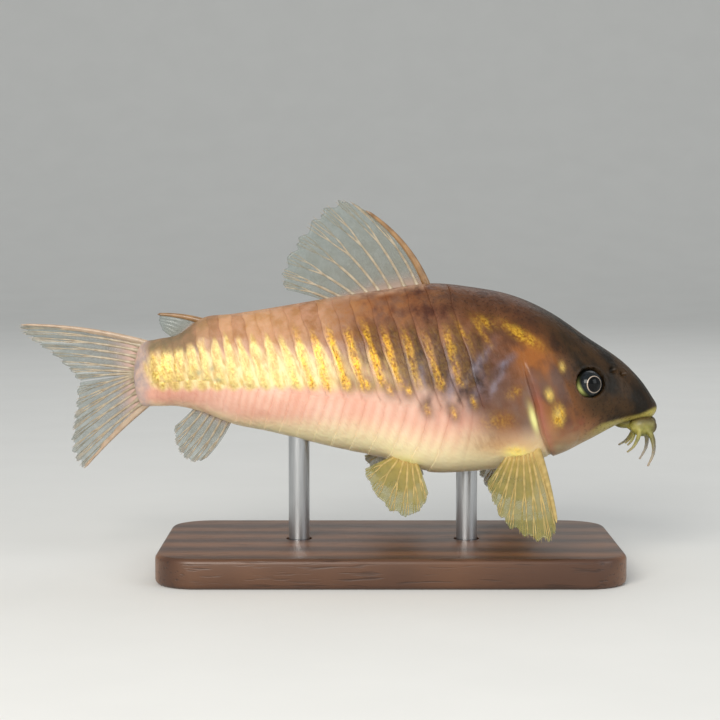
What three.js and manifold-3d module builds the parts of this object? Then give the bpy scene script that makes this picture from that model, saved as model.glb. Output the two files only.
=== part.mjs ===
// A corydoras catfish, life size and still, held above a plain display stand.
// Millimetres, +Z up. The fish looks along +X and its left side is +Y.
// The origin is the middle of the stand's underside.
import * as THREE from 'three';
import { mergeVertices } from 'three/addons/utils/BufferGeometryUtils.js';
import Module from 'manifold-3d';

const wasm = await Module();
wasm.setup();

// Driving sizes of the fish
const GAP = 0.3;                 // clearance between neighbouring pieces
const SNOUT_X = 31.8;            // tip of the snout
const TAIL_ROOT_X = -30.6;       // end of the flesh, where the tail fin starts
const LINE_LEVEL = 0.37;         // height of the lateral line and the widest level, as a share of the depth
const TAIL_BEND = 3.2;           // how far the tail swings to the left at its tip
const TAIL_BEND_START = -6;      // where the swing starts
const TAIL_TIP_X = -44.5;
const HEAD_CUT_X = 16.9;         // gill opening, at the lateral line
const TAIL_CUT_X = -14.6;        // start of the tail stem, at the lateral line
const EYE = { x: 23.3, z: 22.6, radius: 1.65, sunk: 0.95, rimRise: 0.28 };
const NOSTRILS = [{ x: 27.3, z: 23.5, radius: 0.42 }, { x: 26.1, z: 24.0, radius: 0.5 }];

// Bony plates along the flanks
const PLATES_START_X = 13.4;
const PLATE_PITCH = 2.6;         // length of the first plate
const PLATE_RATIO = 0.9715;      // each plate against the one in front of it
const PLATE_COUNT = { above: 21, below: 18 };
const PLATE_RISE = 0.3;          // how proud the free rear edge stands
const PLATE_ROOT = 0.55;         // how deep the plate is rooted in the body
const BACK_STRIP = 0.95;         // half width of the bare strip along the back
const BELLY_STRIP = 1.6;         // half width of the bare strip under the belly

// Fins
const MEMBRANE = 0.5;            // thickness of the skin between the rays
const RAY_THICK = 0.95;          // thickness of a soft ray at its root
const SPINE_THICK = 1.5;         // thickness of a fin spine at its root

// Stand
const BASE = { length: 54, width: 30, height: 3.5, corner: 5, edge: 0.6 };
const ROD = { radius: 1.25, socket: 2.2, sides: 20 };
const ROD_XS = { front: 9.2, rear: -10.8 };

// Outline of the fish from nose to tail: place, height of the back, height of the belly, half width.
const OUTLINE = [
  { at: SNOUT_X, back: 19.3, belly: 19.3, half: 0 },        // tip of the snout
  { at: 31.1, back: 20.7, belly: 18.1, half: 1.8 },         // front of the mouth
  { at: 29.6, back: 22.8, belly: 17.7, half: 2.9 },         // corner of the mouth
  { at: 27.2, back: 25.1, belly: 17.3, half: 4.1 },         // nostrils
  { at: EYE.x, back: 27.7, belly: 15.4, half: 5.7 },        // eyes
  { at: 19.0, back: 30.6, belly: 13.7, half: 6.9 },         // cheeks
  { at: 14.5, back: 32.6, belly: 12.4, half: 7.6 },         // shoulder
  { at: 9.5, back: 33.6, belly: 11.8, half: 7.8 },          // chest
  { at: 4.7, back: 34.0, belly: 11.8, half: 7.4 },          // front of the dorsal fin
  { at: -0.5, back: 33.3, belly: 13.3, half: 6.7 },         // pelvic fins
  { at: -7.0, back: 32.3, belly: 14.6, half: 5.7 },         // end of the dorsal fin
  { at: -14.0, back: 31.1, belly: 16.3, half: 4.5 },
  { at: -18.5, back: 30.4, belly: 17.2, half: 3.7 },        // front of the anal fin
  { at: -22.2, back: 29.9, belly: 18.6, half: 3.1 },        // front of the adipose fin
  { at: -25.2, back: 27.9, belly: 19.3, half: 2.5 },        // behind the adipose fin
  { at: -27.8, back: 27.3, belly: 19.3, half: 1.9 },        // tail stem at its thinnest
  { at: -29.8, back: 26.6, belly: 19.6, half: 1.2 },        // root of the tail fin
  { at: TAIL_ROOT_X, back: 23.1, belly: 23.1, half: 0 },
];

const LEFT = 1;
const RIGHT = -1;
const SIDES = { left: LEFT, right: RIGHT };
const QUARTER = Math.PI / 2;
const V3 = (x, y, z) => new THREE.Vector3(x, y, z);
const mix = (a, b, share) => a + (b - a) * share;
const ease = (low, high, x) => THREE.MathUtils.smoothstep(x, low, high);
const easeDown = (high, low, x) => 1 - THREE.MathUtils.smoothstep(x, low, high);

// A repeatable draw between -1 and 1, so that repeats vary as real ones do.
function drawer(seed) {
  let state = seed;
  return () => {
    state = (state * 1664525 + 1013904223) % 4294967296;
    return state / 2147483648 - 1;
  };
}

// The next or previous station past either end is the end one seen through the tip, which rounds the tip.
function station(i) {
  const last = OUTLINE.length - 1;
  if (i >= 0 && i <= last) return OUTLINE[i];
  const s = OUTLINE[i < 0 ? 1 : last - 1];
  return { at: s.at, back: s.belly, belly: s.back, half: -s.half };
}

// One smooth curve through four stations in a row.
function through(a, b, c, d, f) {
  return 0.5 * (2 * b + (c - a) * f + (2 * a - 5 * b + 4 * c - d) * f * f
    + (3 * b - a - 3 * c + d) * f * f * f);
}

// How far the fish's middle has swung to its left, towards the tail.
function centreline(x) {
  const share = (TAIL_BEND_START - x) / (TAIL_BEND_START - TAIL_TIP_X);
  return TAIL_BEND * Math.max(0, share) ** 2;
}

// The cross-section at a place t, counted in stations from the snout.
function section(t) {
  const i = Math.min(Math.floor(t), OUTLINE.length - 2);
  const around = [i - 1, i, i + 1, i + 2].map(station);
  const at = (field) => through(...around.map((s) => s[field]), t - i);
  const x = at('at');
  const back = at('back');
  const belly = at('belly');
  return {
    x, back, belly,
    half: Math.max(at('half'), 0),
    wide: mix(belly, back, LINE_LEVEL),
    middle: centreline(x),
    roof: 2 - 0.2 * ease(-12, 2, x) * easeDown(20, 10, x),       // the back is a little roof-shaped
    keel: 2 + 0.9 * ease(-10, 4, x) * easeDown(30, 20, x),       // the belly is flat
  };
}

// The station count at which the outline reaches x.
function stationOf(x) {
  let low = 0;
  let high = OUTLINE.length - 1;
  for (let step = 0; step < 40; step++) {
    const t = (low + high) / 2;
    if (section(t).x > x) low = t;
    else high = t;
  }
  return (low + high) / 2;
}

// A point of the skin: angle 0 is the lateral line, a quarter turn up is the back, a quarter down the belly.
function skinPoint(t, angle, side) {
  const s = section(t);
  const up = Math.sin(angle);
  const power = 2 / (up >= 0 ? s.roof : s.keel);
  const reach = up >= 0 ? s.back - s.wide : s.wide - s.belly;
  const out = s.half * Math.abs(Math.cos(angle)) ** power;
  return V3(s.x, s.middle + side * out, s.wide + Math.sign(up) * reach * Math.abs(up) ** power);
}

function skinNormal(t, angle, side) {
  const step = 0.02;
  const last = OUTLINE.length - 1;
  const tail = Math.min(t + step, last);
  const nose = Math.max(t - step, 0);
  const high = Math.min(angle + step, QUARTER - 1e-3);
  const low = Math.max(angle - step, 1e-3 - QUARTER);
  const along = skinPoint(nose, angle, side).sub(skinPoint(tail, angle, side));
  const rising = skinPoint(t, high, side).sub(skinPoint(t, low, side));
  return along.cross(rising).multiplyScalar(-side).normalize();
}

const raised = (t, angle, side, rise) => skinPoint(t, angle, side)
  .addScaledVector(skinNormal(t, angle, side), rise);

// The angle at which the skin of a section passes a height.
function angleAt(t, z) {
  const s = section(t);
  const above = z >= s.wide;
  const share = Math.min(Math.abs(z - s.wide) / (above ? s.back - s.wide : s.wide - s.belly), 1);
  return (above ? 1 : -1) * Math.asin(share ** ((above ? s.roof : s.keel) / 2));
}

// The angle at which the skin comes within `strip` of the middle, on the back or under the belly.
function stripAngle(t, strip, above) {
  const s = section(t);
  const share = Math.min(strip / s.half, 0.97);
  return (above ? 1 : -1) * Math.acos(share ** ((above ? s.roof : s.keel) / 2));
}

// Plates and cuts lean: forward from the back down to the lateral line, and below it forward at the gills
// and backward along the flanks.
const LEAN = { above: 0.3, gills: -0.3, flank: 0.3, tail: 0.12 };
function leaning(x, angle) {
  const s = section(stationOf(x));
  const up = Math.sin(angle);
  const height = up >= 0 ? (s.back - s.wide) * up : (s.wide - s.belly) * -up;
  const toTail = easeDown(-10, -26, x);
  const above = mix(LEAN.above, LEAN.tail, toTail);
  const below = mix(mix(LEAN.gills, LEAN.flank, easeDown(15, 7, x)), LEAN.tail, toTail);
  return stationOf(Math.max(x - height * (up >= 0 ? above : below), TAIL_ROOT_X + 0.05));
}

// Solids
const solidOf = (geometry) => {
  const bare = geometry.clone();
  bare.deleteAttribute('normal');
  bare.deleteAttribute('uv');
  const merged = mergeVertices(bare, 1e-4);
  const solid = new wasm.Manifold(new wasm.Mesh({
    numProp: 3,
    vertProperties: merged.attributes.position.array,
    triVerts: new Uint32Array(merged.index.array),
  }));
  if (solid.volume() > 0) return solid;
  const turned = Uint32Array.from(merged.index.array);
  for (let i = 0; i < turned.length; i += 3) [turned[i + 1], turned[i + 2]] = [turned[i + 2], turned[i + 1]];
  return new wasm.Manifold(new wasm.Mesh({
    numProp: 3, vertProperties: merged.attributes.position.array, triVerts: turned,
  }));
};

const geometryOf = (points, faces) => {
  const geometry = new THREE.BufferGeometry();
  geometry.setAttribute('position', new THREE.Float32BufferAttribute(points.flatMap((p) => p.toArray()), 3));
  geometry.setIndex(faces);
  return geometry;
};

// A closed body from rings of equal count; each end is closed by a fan to its middle point.
function loft(rings) {
  const count = rings[0].length;
  const points = rings.flat();
  const faces = [];
  for (let r = 0; r + 1 < rings.length; r++)
    for (let i = 0; i < count; i++) {
      const a = r * count + i;
      const b = r * count + (i + 1) % count;
      faces.push(a, b, b + count, a, b + count, a + count);
    }
  [[0, 1], [rings.length - 1, -1]].forEach(([r, turn]) => {
    const middle = points.length;
    points.push(rings[r].reduce((sum, p) => sum.add(p), V3(0, 0, 0)).divideScalar(count));
    for (let i = 0; i < count; i++) {
      const a = r * count + i;
      const b = r * count + (i + 1) % count;
      faces.push(...(turn > 0 ? [middle, b, a] : [middle, a, b]));
    }
  });
  return solidOf(geometryOf(points, faces));
}

// A closed plate from two grids of points, one over the other, split into triangles alike on both faces.
function plate(outer, inner) {
  const rows = outer.length;
  const columns = outer[0].length;
  const points = [...outer.flat(), ...inner.flat()];
  const under = rows * columns;
  const faces = [];
  for (let r = 0; r + 1 < rows; r++)
    for (let c = 0; c + 1 < columns; c++) {
      const a = r * columns + c;
      const [b, d, e] = [a + 1, a + columns, a + columns + 1];
      faces.push(a, b, e, a, e, d);
      faces.push(a + under, e + under, b + under, a + under, d + under, e + under);
    }
  const edge = [];
  for (let c = 0; c < columns; c++) edge.push(c);
  for (let r = 1; r < rows; r++) edge.push(r * columns + columns - 1);
  for (let c = columns - 2; c >= 0; c--) edge.push((rows - 1) * columns + c);
  for (let r = rows - 2; r > 0; r--) edge.push(r * columns);
  edge.forEach((a, i) => {
    const b = edge[(i + 1) % edge.length];
    faces.push(a, a + under, b + under, a, b + under, b);
  });
  return solidOf(geometryOf(points, faces));
}

const join = (solids) => wasm.Manifold.union(solids);
const largest = (solid) => solid.decompose().sort((a, b) => b.volume() - a.volume())[0];

// The whole skin as one closed body, from a place t on the outline to another, `rise` outside the skin.
const RING_ANGLES = 12;
function around(t, rise) {
  const ring = [];
  for (let i = 0; i < RING_ANGLES; i++) {
    const angle = mix(-QUARTER, QUARTER, i / RING_ANGLES);
    ring.push(raised(t, angle, LEFT, rise));
  }
  for (let i = 0; i < RING_ANGLES; i++) {
    const angle = mix(QUARTER, -QUARTER, i / RING_ANGLES);
    ring.push(raised(t, angle, RIGHT, rise));
  }
  return ring;
}

const BODY_UNDER_PLATES = -0.08;
const RINGS = 38;
function bodyCore() {
  const rings = [];
  const last = OUTLINE.length - 1;
  for (let i = 0; i <= RINGS; i++) {
    const share = i / RINGS;
    const t = mix(0.06, last - 0.05, share);
    const under = ease(0.34, 0.4, share) * BODY_UNDER_PLATES;
    rings.push(around(t, under));
  }
  return loft(rings);
}

// One plate of the flank. Its front dives into the body and its rear edge stands proud.
const PLATE_STEPS = [
  { along: -0.12, rise: -0.2 },
  { along: 0.4, rise: 0.14 },
  { along: 1, rise: 1 },
];
const PLATE_ROWS = 4;
function flankPlate(front, rear, side, above, wobble) {
  const grid = (rise) => PLATE_STEPS.map((step) => {
    const x = mix(front, rear, step.along);
    const rows = [];
    for (let r = 0; r < PLATE_ROWS; r++) {
      const share = r / (PLATE_ROWS - 1);
      const t0 = stationOf(Math.max(x, TAIL_ROOT_X + 0.3));
      const end = stripAngle(t0, above ? BACK_STRIP : BELLY_STRIP, above);
      const start = above ? 0.015 : -0.015;
      const angle = mix(start, end, share);
      const roundCorner = (step.along > 0.9 ? 0.3 : 0) * (share < 0.1 || share > 0.9 ? 1 : 0);
      const t = leaning(x - roundCorner * (rear - front), angle);
      rows.push(raised(t, angle, side, rise(step, share)));
    }
    return rows;
  });
  const edgeDrop = (share) => (share < 0.1 || share > 0.9 ? 0.55 : 1);
  const top = grid((step, share) => {
    const crest = step.rise > 0 ? edgeDrop(share) * (1 + wobble) : 1;
    return step.rise * PLATE_RISE * crest;
  });
  const root = grid(() => -PLATE_ROOT);
  return plate(top, root);
}

function flankPlates() {
  const made = [];
  const draw = drawer(7);
  Object.values(SIDES).forEach((side) => {
    [true, false].forEach((above) => {
      let pitch = PLATE_PITCH;
      let front = PLATES_START_X - (above ? 0 : 1.5 * PLATE_PITCH);
      const count = above ? PLATE_COUNT.above : PLATE_COUNT.below;
      for (let k = 0; k < count; k++) {
        made.push(flankPlate(front, front - pitch, side, above, 0.12 * draw()));
        front -= pitch;
        pitch *= PLATE_RATIO;
      }
    });
  });
  return made;
}

// A thin cut through the whole body at x on the lateral line, leaning as the plates do.
function cut(x) {
  const reach = 3;
  const ringAt = (place) => {
    const ring = [];
    [[LEFT, -1], [RIGHT, 1]].forEach(([side, turn]) => {
      for (let i = 0; i < RING_ANGLES; i++) {
        const angle = mix(turn * QUARTER, -turn * QUARTER, i / RING_ANGLES);
        ring.push(raised(leaning(place, angle), angle, side, reach));
      }
    });
    return ring;
  };
  return loft([ringAt(x), ringAt(x - GAP)]);
}

// A tapering feeler or lip along a curve, from one share of its length to another.
function feeler(points, thick, from, to, tipShare) {
  const curve = new THREE.CatmullRomCurve3(points.map((p) => V3(...p)));
  const sides = 8;
  const steps = Math.max(2, Math.round((to - from) * 8));
  const rings = [];
  for (let i = 0; i <= steps; i++) {
    const share = mix(from, to, i / steps);
    const forward = curve.getTangentAt(share);
    const across = V3(0, 1, 0).addScaledVector(forward, -forward.y).normalize();
    const over = forward.clone().cross(across);
    const radius = thick / 2 * mix(1, tipShare, share);
    const ring = [];
    for (let k = 0; k < sides; k++) {
      const turn = k / sides * 2 * Math.PI;
      ring.push(curve.getPointAt(share).addScaledVector(across, radius * Math.cos(turn))
        .addScaledVector(over, radius * Math.sin(turn)));
    }
    rings.push(ring);
  }
  return loft(rings);
}

const ball = (centre, radii, turns = 16) => solidOf(new THREE.SphereGeometry(1, turns, turns / 2)
  .scale(...radii).translate(...centre));

const mirrored = (point, side) => [point[0], point[1] * side, point[2]];

// Where something sits on the head: the skin point at x and z, and the way the skin faces there.
function seatOn(x, z, side) {
  const t = stationOf(x);
  const angle = angleAt(t, z);
  return { point: skinPoint(t, angle, side), normal: skinNormal(t, angle, side) };
}

function ringOn(seat, radius, thick, sides) {
  const turn = new THREE.Quaternion().setFromUnitVectors(V3(0, 0, 1), seat.normal);
  return solidOf(new THREE.TorusGeometry(radius, thick, 6, sides).applyQuaternion(turn)
    .translate(...seat.point.toArray()));
}

// Eyes, sunk in sockets with a low rim round each
const eyeSeat = (side) => seatOn(EYE.x, EYE.z, side);
const eyeCentre = (side) => {
  const seat = eyeSeat(side);
  return seat.point.addScaledVector(seat.normal, -EYE.sunk).toArray();
};
const eyeball = (side, spare) => ball(eyeCentre(side), Array(3).fill(EYE.radius + spare), 16);
const eyeRim = (side) => ringOn(eyeSeat(side), EYE.radius + 0.35, EYE.rimRise, 16);

// Mouth: an upper lip with a soft lobe at each corner, and a lower lip that fits in a pocket behind it
const LIP = {
  thick: 1.35,
  path: [[29.4, -2.0, 17.5], [30.7, -1.5, 17.2], [31.1, 0, 17.6], [30.7, 1.5, 17.2], [29.4, 2.0, 17.5]],
};
const LOBE = { centre: [30.05, 2.0, 17.25], radii: [1.2, 0.85, 1.35] };
const LOWER_LIP = {
  thick: 1.05,
  path: [[28.3, -1.35, 17.3], [29.35, -0.9, 16.9], [29.6, 0, 16.9], [29.35, 0.9, 16.9], [28.3, 1.35, 17.3]],
};
const CHIN = { centre: [28.0, 0, 17.6], radii: [1.5, 1.35, 0.85] };
const lowerLip = (spare) => join([
  feeler(LOWER_LIP.path, LOWER_LIP.thick + 2 * spare, 0, 1, 1),
  ball(CHIN.centre, CHIN.radii.map((r) => r + spare), 12),
]);

// Feelers: the root of each belongs to the lip, and the rest stands a gap away
const BARBEL_THICK = 0.9;
const BARBEL_TIP = 0.5;
const BARBEL_ROOT = 0.3;
const BARBELS = {
  outer: [[30.4, 2.2, 16.9], [31.0, 2.6, 15.6], [31.0, 3.1, 14.1], [30.3, 3.5, 12.6]],
  inner: [[29.6, 2.2, 17.0], [29.2, 2.8, 15.8], [28.6, 3.4, 14.9], [27.8, 3.9, 14.3]],
  chin: [[29.2, 0.6, 17.0], [29.0, 0.8, 16.0], [28.7, 0.95, 15.3], [28.2, 1.05, 14.8]],
};
const barbelPath = (name, side) => BARBELS[name].map((p) => mirrored(p, side));
const barbelLength = (name) => new THREE.CatmullRomCurve3(BARBELS[name].map((p) => V3(...p))).getLength();
const barbelRoot = (name, side) => feeler(barbelPath(name, side), BARBEL_THICK, 0, BARBEL_ROOT, BARBEL_TIP);
const barbel = (name, side) => feeler(barbelPath(name, side), BARBEL_THICK,
  BARBEL_ROOT + GAP / barbelLength(name), 1, BARBEL_TIP);

// Gill covers: a plate on each cheek, in a recess that is open at the gill slit
const COVER = { length: 4.7, low: -0.98, high: 0.5, proud: 0.22, deep: 0.55 };
function gillCover(side, spare) {
  const rows = 7;
  const columns = 5;
  const grid = (rise) => Array.from({ length: rows }, (_, r) => {
    const level = mix(-1, 1, r / (rows - 1));
    const angle = mix(COVER.low, COVER.high, (level * (1 + spare / 3) + 1) / 2);
    const rear = HEAD_CUT_X + (spare ? -0.8 : 0.15 + 0.9 * level ** 2);
    const front = HEAD_CUT_X + COVER.length + spare - 1.1 * level ** 2;
    return Array.from({ length: columns }, (_unused, c) => {
      const t = leaning(mix(rear, front, c / (columns - 1)), angle);
      return raised(t, angle, side, rise);
    });
  });
  return plate(grid(COVER.proud + 2.5 * spare), grid(-COVER.deep - spare));
}

// Fins. A fin is a fan of rays from a root line on the body to a tip line, raised in one membrane.
// In its spec, seat(c) is the root line with the way the body faces, tip(c) is the tip line and bow(c) says
// how far a ray bends.
function fin(spec) {
  const columns = [{ c: 0, kind: 'edge' }];
  const spineShare = spec.spine ? 0.045 : 0;
  if (spec.spine) {
    columns.push({ c: spineShare * 0.5, kind: 'spine' });
    columns.push({ c: spineShare, kind: 'foot' });
  }
  const draw = drawer(spec.seed);
  const pitch = (1 - spineShare) / spec.rays;
  for (let k = 0; k < spec.rays; k++) {
    const c = spineShare + (k + 0.55 + 0.08 * draw()) * pitch;
    columns.push({ c: c - 0.2 * pitch, kind: 'foot' });
    columns.push({ c, kind: 'ray' });
    columns.push({ c: c + 0.2 * pitch, kind: 'foot' });
  }
  columns.push({ c: 1, kind: 'edge' });
  const reaches = spec.reaches ?? [0, 0.33, 0.68, 1];
  const sheet = (c, r) => {
    const root = spec.seat(c).point;
    const tip = spec.tip(c);
    const middle = root.clone().add(tip).multiplyScalar(0.5).add(spec.bow(c));
    return root.multiplyScalar((1 - r) ** 2)
      .addScaledVector(middle, 2 * r * (1 - r))
      .addScaledVector(tip, r * r);
  };
  const thick = (kind, r) => {
    if (kind === 'spine') return mix(SPINE_THICK, 0.7, r);
    if (kind === 'ray') return mix(RAY_THICK, 0.6, r);
    return mix(MEMBRANE, 0.4, r ** 4);
  };
  const face = (sign) => reaches.map((reach) => columns.map(({ c, kind }) => {
    const notch = kind === 'ray' || kind === 'spine' ? 1 : spec.notch ?? 0.95;
    const r = reach * notch;
    const cLow = Math.max(c - 0.01, 0);
    const cHigh = Math.min(c + 0.01, 1);
    const across = sheet(cHigh, r).sub(sheet(cLow, r));
    const out = sheet(c, r + 0.01).sub(sheet(c, r - 0.01)).normalize();
    const normal = across.cross(out).normalize();
    const p = sheet(c, r).addScaledVector(normal, sign * thick(kind, reach) / 2);
    if (reach > 0) return p;
    const seat = spec.seat(c);
    const short = GAP + 0.02 - p.clone().sub(seat.skin).dot(seat.normal);
    return p.addScaledVector(out, short / Math.max(out.dot(seat.normal), 0.35));
  }));
  return plate(face(1), face(-1));
}

const line = (points) => {
  const curve = new THREE.CatmullRomCurve3(points.map((p) => V3(...p)));
  return (c) => curve.getPoint(c);
};

// A root line along the back or belly, between two places.
function midlineSeat(front, rear, above) {
  return (c) => {
    const t = stationOf(mix(front, rear, c));
    const angle = above ? QUARTER : -QUARTER;
    const point = skinPoint(t, angle, LEFT);
    const ahead = skinPoint(Math.max(t - 0.05, 0), angle, LEFT);
    const slope = ahead.sub(point).normalize();
    const normal = above ? V3(-slope.z, 0, slope.x) : V3(slope.z, 0, -slope.x);
    return { skin: point.clone(), point: point.addScaledVector(normal, GAP), normal };
  };
}

const bowBy = (direction, from, to) => (c) => V3(...direction).multiplyScalar(mix(from, to, c));
const withBend = (points) => points.map(([x, z, y = 0]) => [x, centreline(x) + y, z]);

const dorsalFin = () => fin({
  seat: midlineSeat(4.6, -7.6, true), rays: 8, spine: true, seed: 3,
  tip: line(withBend([[-2.8, 42.6], [-5.8, 44.1], [-8.6, 42.4], [-11.2, 39.1], [-12.9, 35.6],
    [-12.7, 33.3]])),
  bow: bowBy([0.8, 0, 0.6], 1.9, 0.3),
});

const adiposeFin = () => fin({
  seat: midlineSeat(-22.3, -25.7, true), rays: 1, spine: true, seed: 5, notch: 1,
  tip: line(withBend([[-27.8, 30.4], [-27.6, 29.4], [-27.1, 28.4]])),
  bow: bowBy([0.3, 0, 0.9], 0.45, 0),
});

const analFin = () => fin({
  seat: midlineSeat(-18.8, -23.2, false), rays: 6, spine: false, seed: 11,
  tip: line(withBend([[-22.1, 12.9], [-23.6, 12.4], [-24.9, 13.3], [-25.7, 14.9], [-25.8, 16.8]])),
  bow: bowBy([0.7, 0, -0.5], 0.7, 0.1),
});

// The tail fin's root line runs round the end of the flesh, from the back to the belly.
const TAIL_FIN_START = -28.7;
function tailSeat(c) {
  const above = c < 0.5;
  const last = OUTLINE.length - 1;
  const start = stationOf(TAIL_FIN_START);
  const share = above ? c * 2 : (1 - c) * 2;
  const t = mix(start, last, Math.sin(share * QUARTER));
  const angle = above ? QUARTER : -QUARTER;
  const point = skinPoint(t, angle, LEFT);
  const ahead = skinPoint(t - 0.02, angle, LEFT);
  const slope = ahead.sub(point).normalize();
  const normal = above ? V3(-slope.z, 0, slope.x) : V3(slope.z, 0, -slope.x);
  return { skin: point.clone(), point: point.addScaledVector(normal, GAP), normal };
}

const TAIL_TWIST = 0.2;          // the upper lobe leans to the right and the lower one to the left
const twisted = (points) => withBend(points.map(([x, z]) => [x, z,
  -TAIL_TWIST * (z - 23) * Math.min((TAIL_ROOT_X - x) / 14, 1)]));
const TAIL_TIPS = {
  upper: twisted([[-44.4, 29.1], [-44.2, 28.0], [-42.4, 26.6], [-40.3, 25.1], [-38.6, 23.7], [-37.4, 22.3]]),
  lower: twisted([[-37.4, 21.7], [-37.8, 19.3], [-38.2, 17.0], [-38.6, 14.6], [-38.2, 12.4], [-36.9, 11.3]]),
};
function tailLobe(upper) {
  const middleCut = 0.012;
  const [from, to] = upper ? [0, 0.5 - middleCut] : [0.5 + middleCut, 1];
  return fin({
    seat: (c) => tailSeat(mix(from, to, c)), rays: 7, spine: false, seed: upper ? 13 : 17,
    tip: line(upper ? TAIL_TIPS.upper : TAIL_TIPS.lower),
    bow: upper ? bowBy([0, 0, 1], 1.1, 0.1) : bowBy([0.4, 0, -0.3], -0.1, -1.0),
  });
}

// A root line on one side of the body, between two points given by place and height.
function flankSeat(front, rear, side) {
  return (c) => {
    const t = stationOf(mix(front.x, rear.x, c));
    const angle = angleAt(t, mix(front.z, rear.z, c));
    const point = skinPoint(t, angle, side);
    const normal = skinNormal(t, angle, side);
    return { skin: point.clone(), point: point.addScaledVector(normal, GAP), normal };
  };
}

const pectoralFin = (side) => fin({
  seat: flankSeat({ x: 17.2, z: 14.7 }, { x: 13.6, z: 13.9 }, side), rays: 8, spine: true, seed: 19,
  tip: line([[18.7, 14.6, 7.6], [18.0, 16.2, 5.6], [15.6, 15.9, 5.7], [13.0, 14.4, 7.0], [11.6, 12.2, 9.2],
    [10.8, 10.0, 11.4]].map((p) => mirrored(p, side))),
  bow: bowBy([0.3, 0.6 * side, 0.7], 0.8, 0.2),
});

const pelvicFin = (side) => fin({
  seat: flankSeat({ x: 3.0, z: 13.1 }, { x: 0.6, z: 13.7 }, side), rays: 6, spine: false, seed: 23,
  tip: line([[4.5, 8.6, 9.9], [3.6, 10.0, 8.2], [1.7, 10.4, 7.4], [-0.4, 9.9, 8.3], [-2.3, 8.6, 10.6],
    [-3.3, 7.0, 12.6]].map((p) => mirrored(p, side))),
  bow: bowBy([0.1, 0.4 * side, 0.6], 0.5, 0.2),
});

// Stand: a flat base with two sockets, and two rods up to the belly
function standBase() {
  const { length, width, height, corner, edge } = BASE;
  const [x, y] = [length / 2 - edge, width / 2 - edge];
  const outline = new THREE.Shape();
  outline.moveTo(x, y - corner);
  outline.absarc(x - corner, y - corner, corner, 0, QUARTER);
  outline.absarc(corner - x, y - corner, corner, QUARTER, 2 * QUARTER);
  outline.absarc(corner - x, corner - y, corner, 2 * QUARTER, 3 * QUARTER);
  outline.absarc(x - corner, corner - y, corner, 3 * QUARTER, 4 * QUARTER);
  const block = solidOf(new THREE.ExtrudeGeometry(outline, {
    depth: height - 2 * edge, bevelThickness: edge, bevelSize: edge, bevelSegments: 1, curveSegments: 3,
  }).translate(0, 0, edge));
  const sockets = Object.values(ROD_XS).map((place) => solidOf(
    new THREE.CylinderGeometry(ROD.radius + GAP, ROD.radius + GAP, 2 * ROD.socket, ROD.sides)
      .rotateX(QUARTER).translate(place, 0, height)));
  return block.subtract(join(sockets));
}

// Height of the skin under the belly at a place.
function bellyHeight(x, y) {
  const s = section(stationOf(x));
  const across = (Math.abs(y - s.middle) / s.half) ** (s.keel / 2);
  return s.wide - (s.wide - s.belly) * Math.sqrt(1 - across ** 2) ** (2 / s.keel);
}

function standRod(place) {
  const middle = centreline(place);
  const ringAt = (height) => Array.from({ length: ROD.sides }, (_, i) => {
    const turn = i / ROD.sides * 2 * Math.PI;
    const [x, y] = [place + ROD.radius * Math.cos(turn), middle + ROD.radius * Math.sin(turn)];
    return V3(x, y, height(x, y));
  });
  const foot = BASE.height - ROD.socket + GAP;
  return loft([ringAt(() => foot), ringAt((x, y) => bellyHeight(x, y) - GAP)]);
}

// Put together
function fish() {
  const sides = Object.values(SIDES);
  const soft = join([
    bodyCore(), ...flankPlates(),
    ...sides.map(eyeRim),
    ...sides.flatMap((side) => NOSTRILS.map((n) => {
      const seat = seatOn(n.x, n.z, side);
      return ringOn(seat, n.radius + 0.08, 0.15, 9);
    })),
    feeler(LIP.path, LIP.thick, 0, 1, 1),
    ...sides.map((side) => ball(mirrored(LOBE.centre, side), LOBE.radii, 10)),
    ...sides.flatMap((side) => ['outer', 'inner'].map((name) => barbelRoot(name, side))),
  ]);
  const hollows = join([
    ...sides.map((side) => eyeball(side, GAP)),
    ...sides.flatMap((side) => NOSTRILS.map((n) => {
      const seat = seatOn(n.x, n.z, side);
      return ball(seat.point.toArray(), Array(3).fill(n.radius), 8);
    })),
    ...sides.map((side) => gillCover(side, GAP)),
    lowerLip(GAP),
    cut(HEAD_CUT_X), cut(TAIL_CUT_X),
  ]);
  const bodies = soft.subtract(hollows).asOriginal().simplify(0.02).decompose();
  const [torso, head, tailStem] = bodies.sort((a, b) => b.volume() - a.volume());
  return { torso, head, tail_stem: tailStem };
}

function finish(color, roughness, metalness = 0) {
  return new THREE.MeshStandardMaterial({ color, roughness, metalness });
}

const MATERIALS = {
  flank: finish('#c08a5c', 0.4, 0.15),
  head: finish('#6e4a35', 0.5),
  cover: finish('#a8714a', 0.4, 0.2),
  lip: finish('#c9b25e', 0.5),
  fin: finish('#c7b38c', 0.45),
  eye: finish('#15161c', 0.1),
  wood: finish('#4a3022', 0.5),
  steel: finish('#b9bcc0', 0.3, 1),
};

function meshOf(name, solid, material) {
  const made = solid.getMesh();
  const geometry = new THREE.BufferGeometry();
  geometry.setAttribute('position', new THREE.BufferAttribute(new Float32Array(made.vertProperties), 3));
  geometry.setIndex(new THREE.BufferAttribute(new Uint32Array(made.triVerts), 1));
  const mesh = new THREE.Mesh(geometry, material);
  mesh.name = name;
  return mesh;
}

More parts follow.
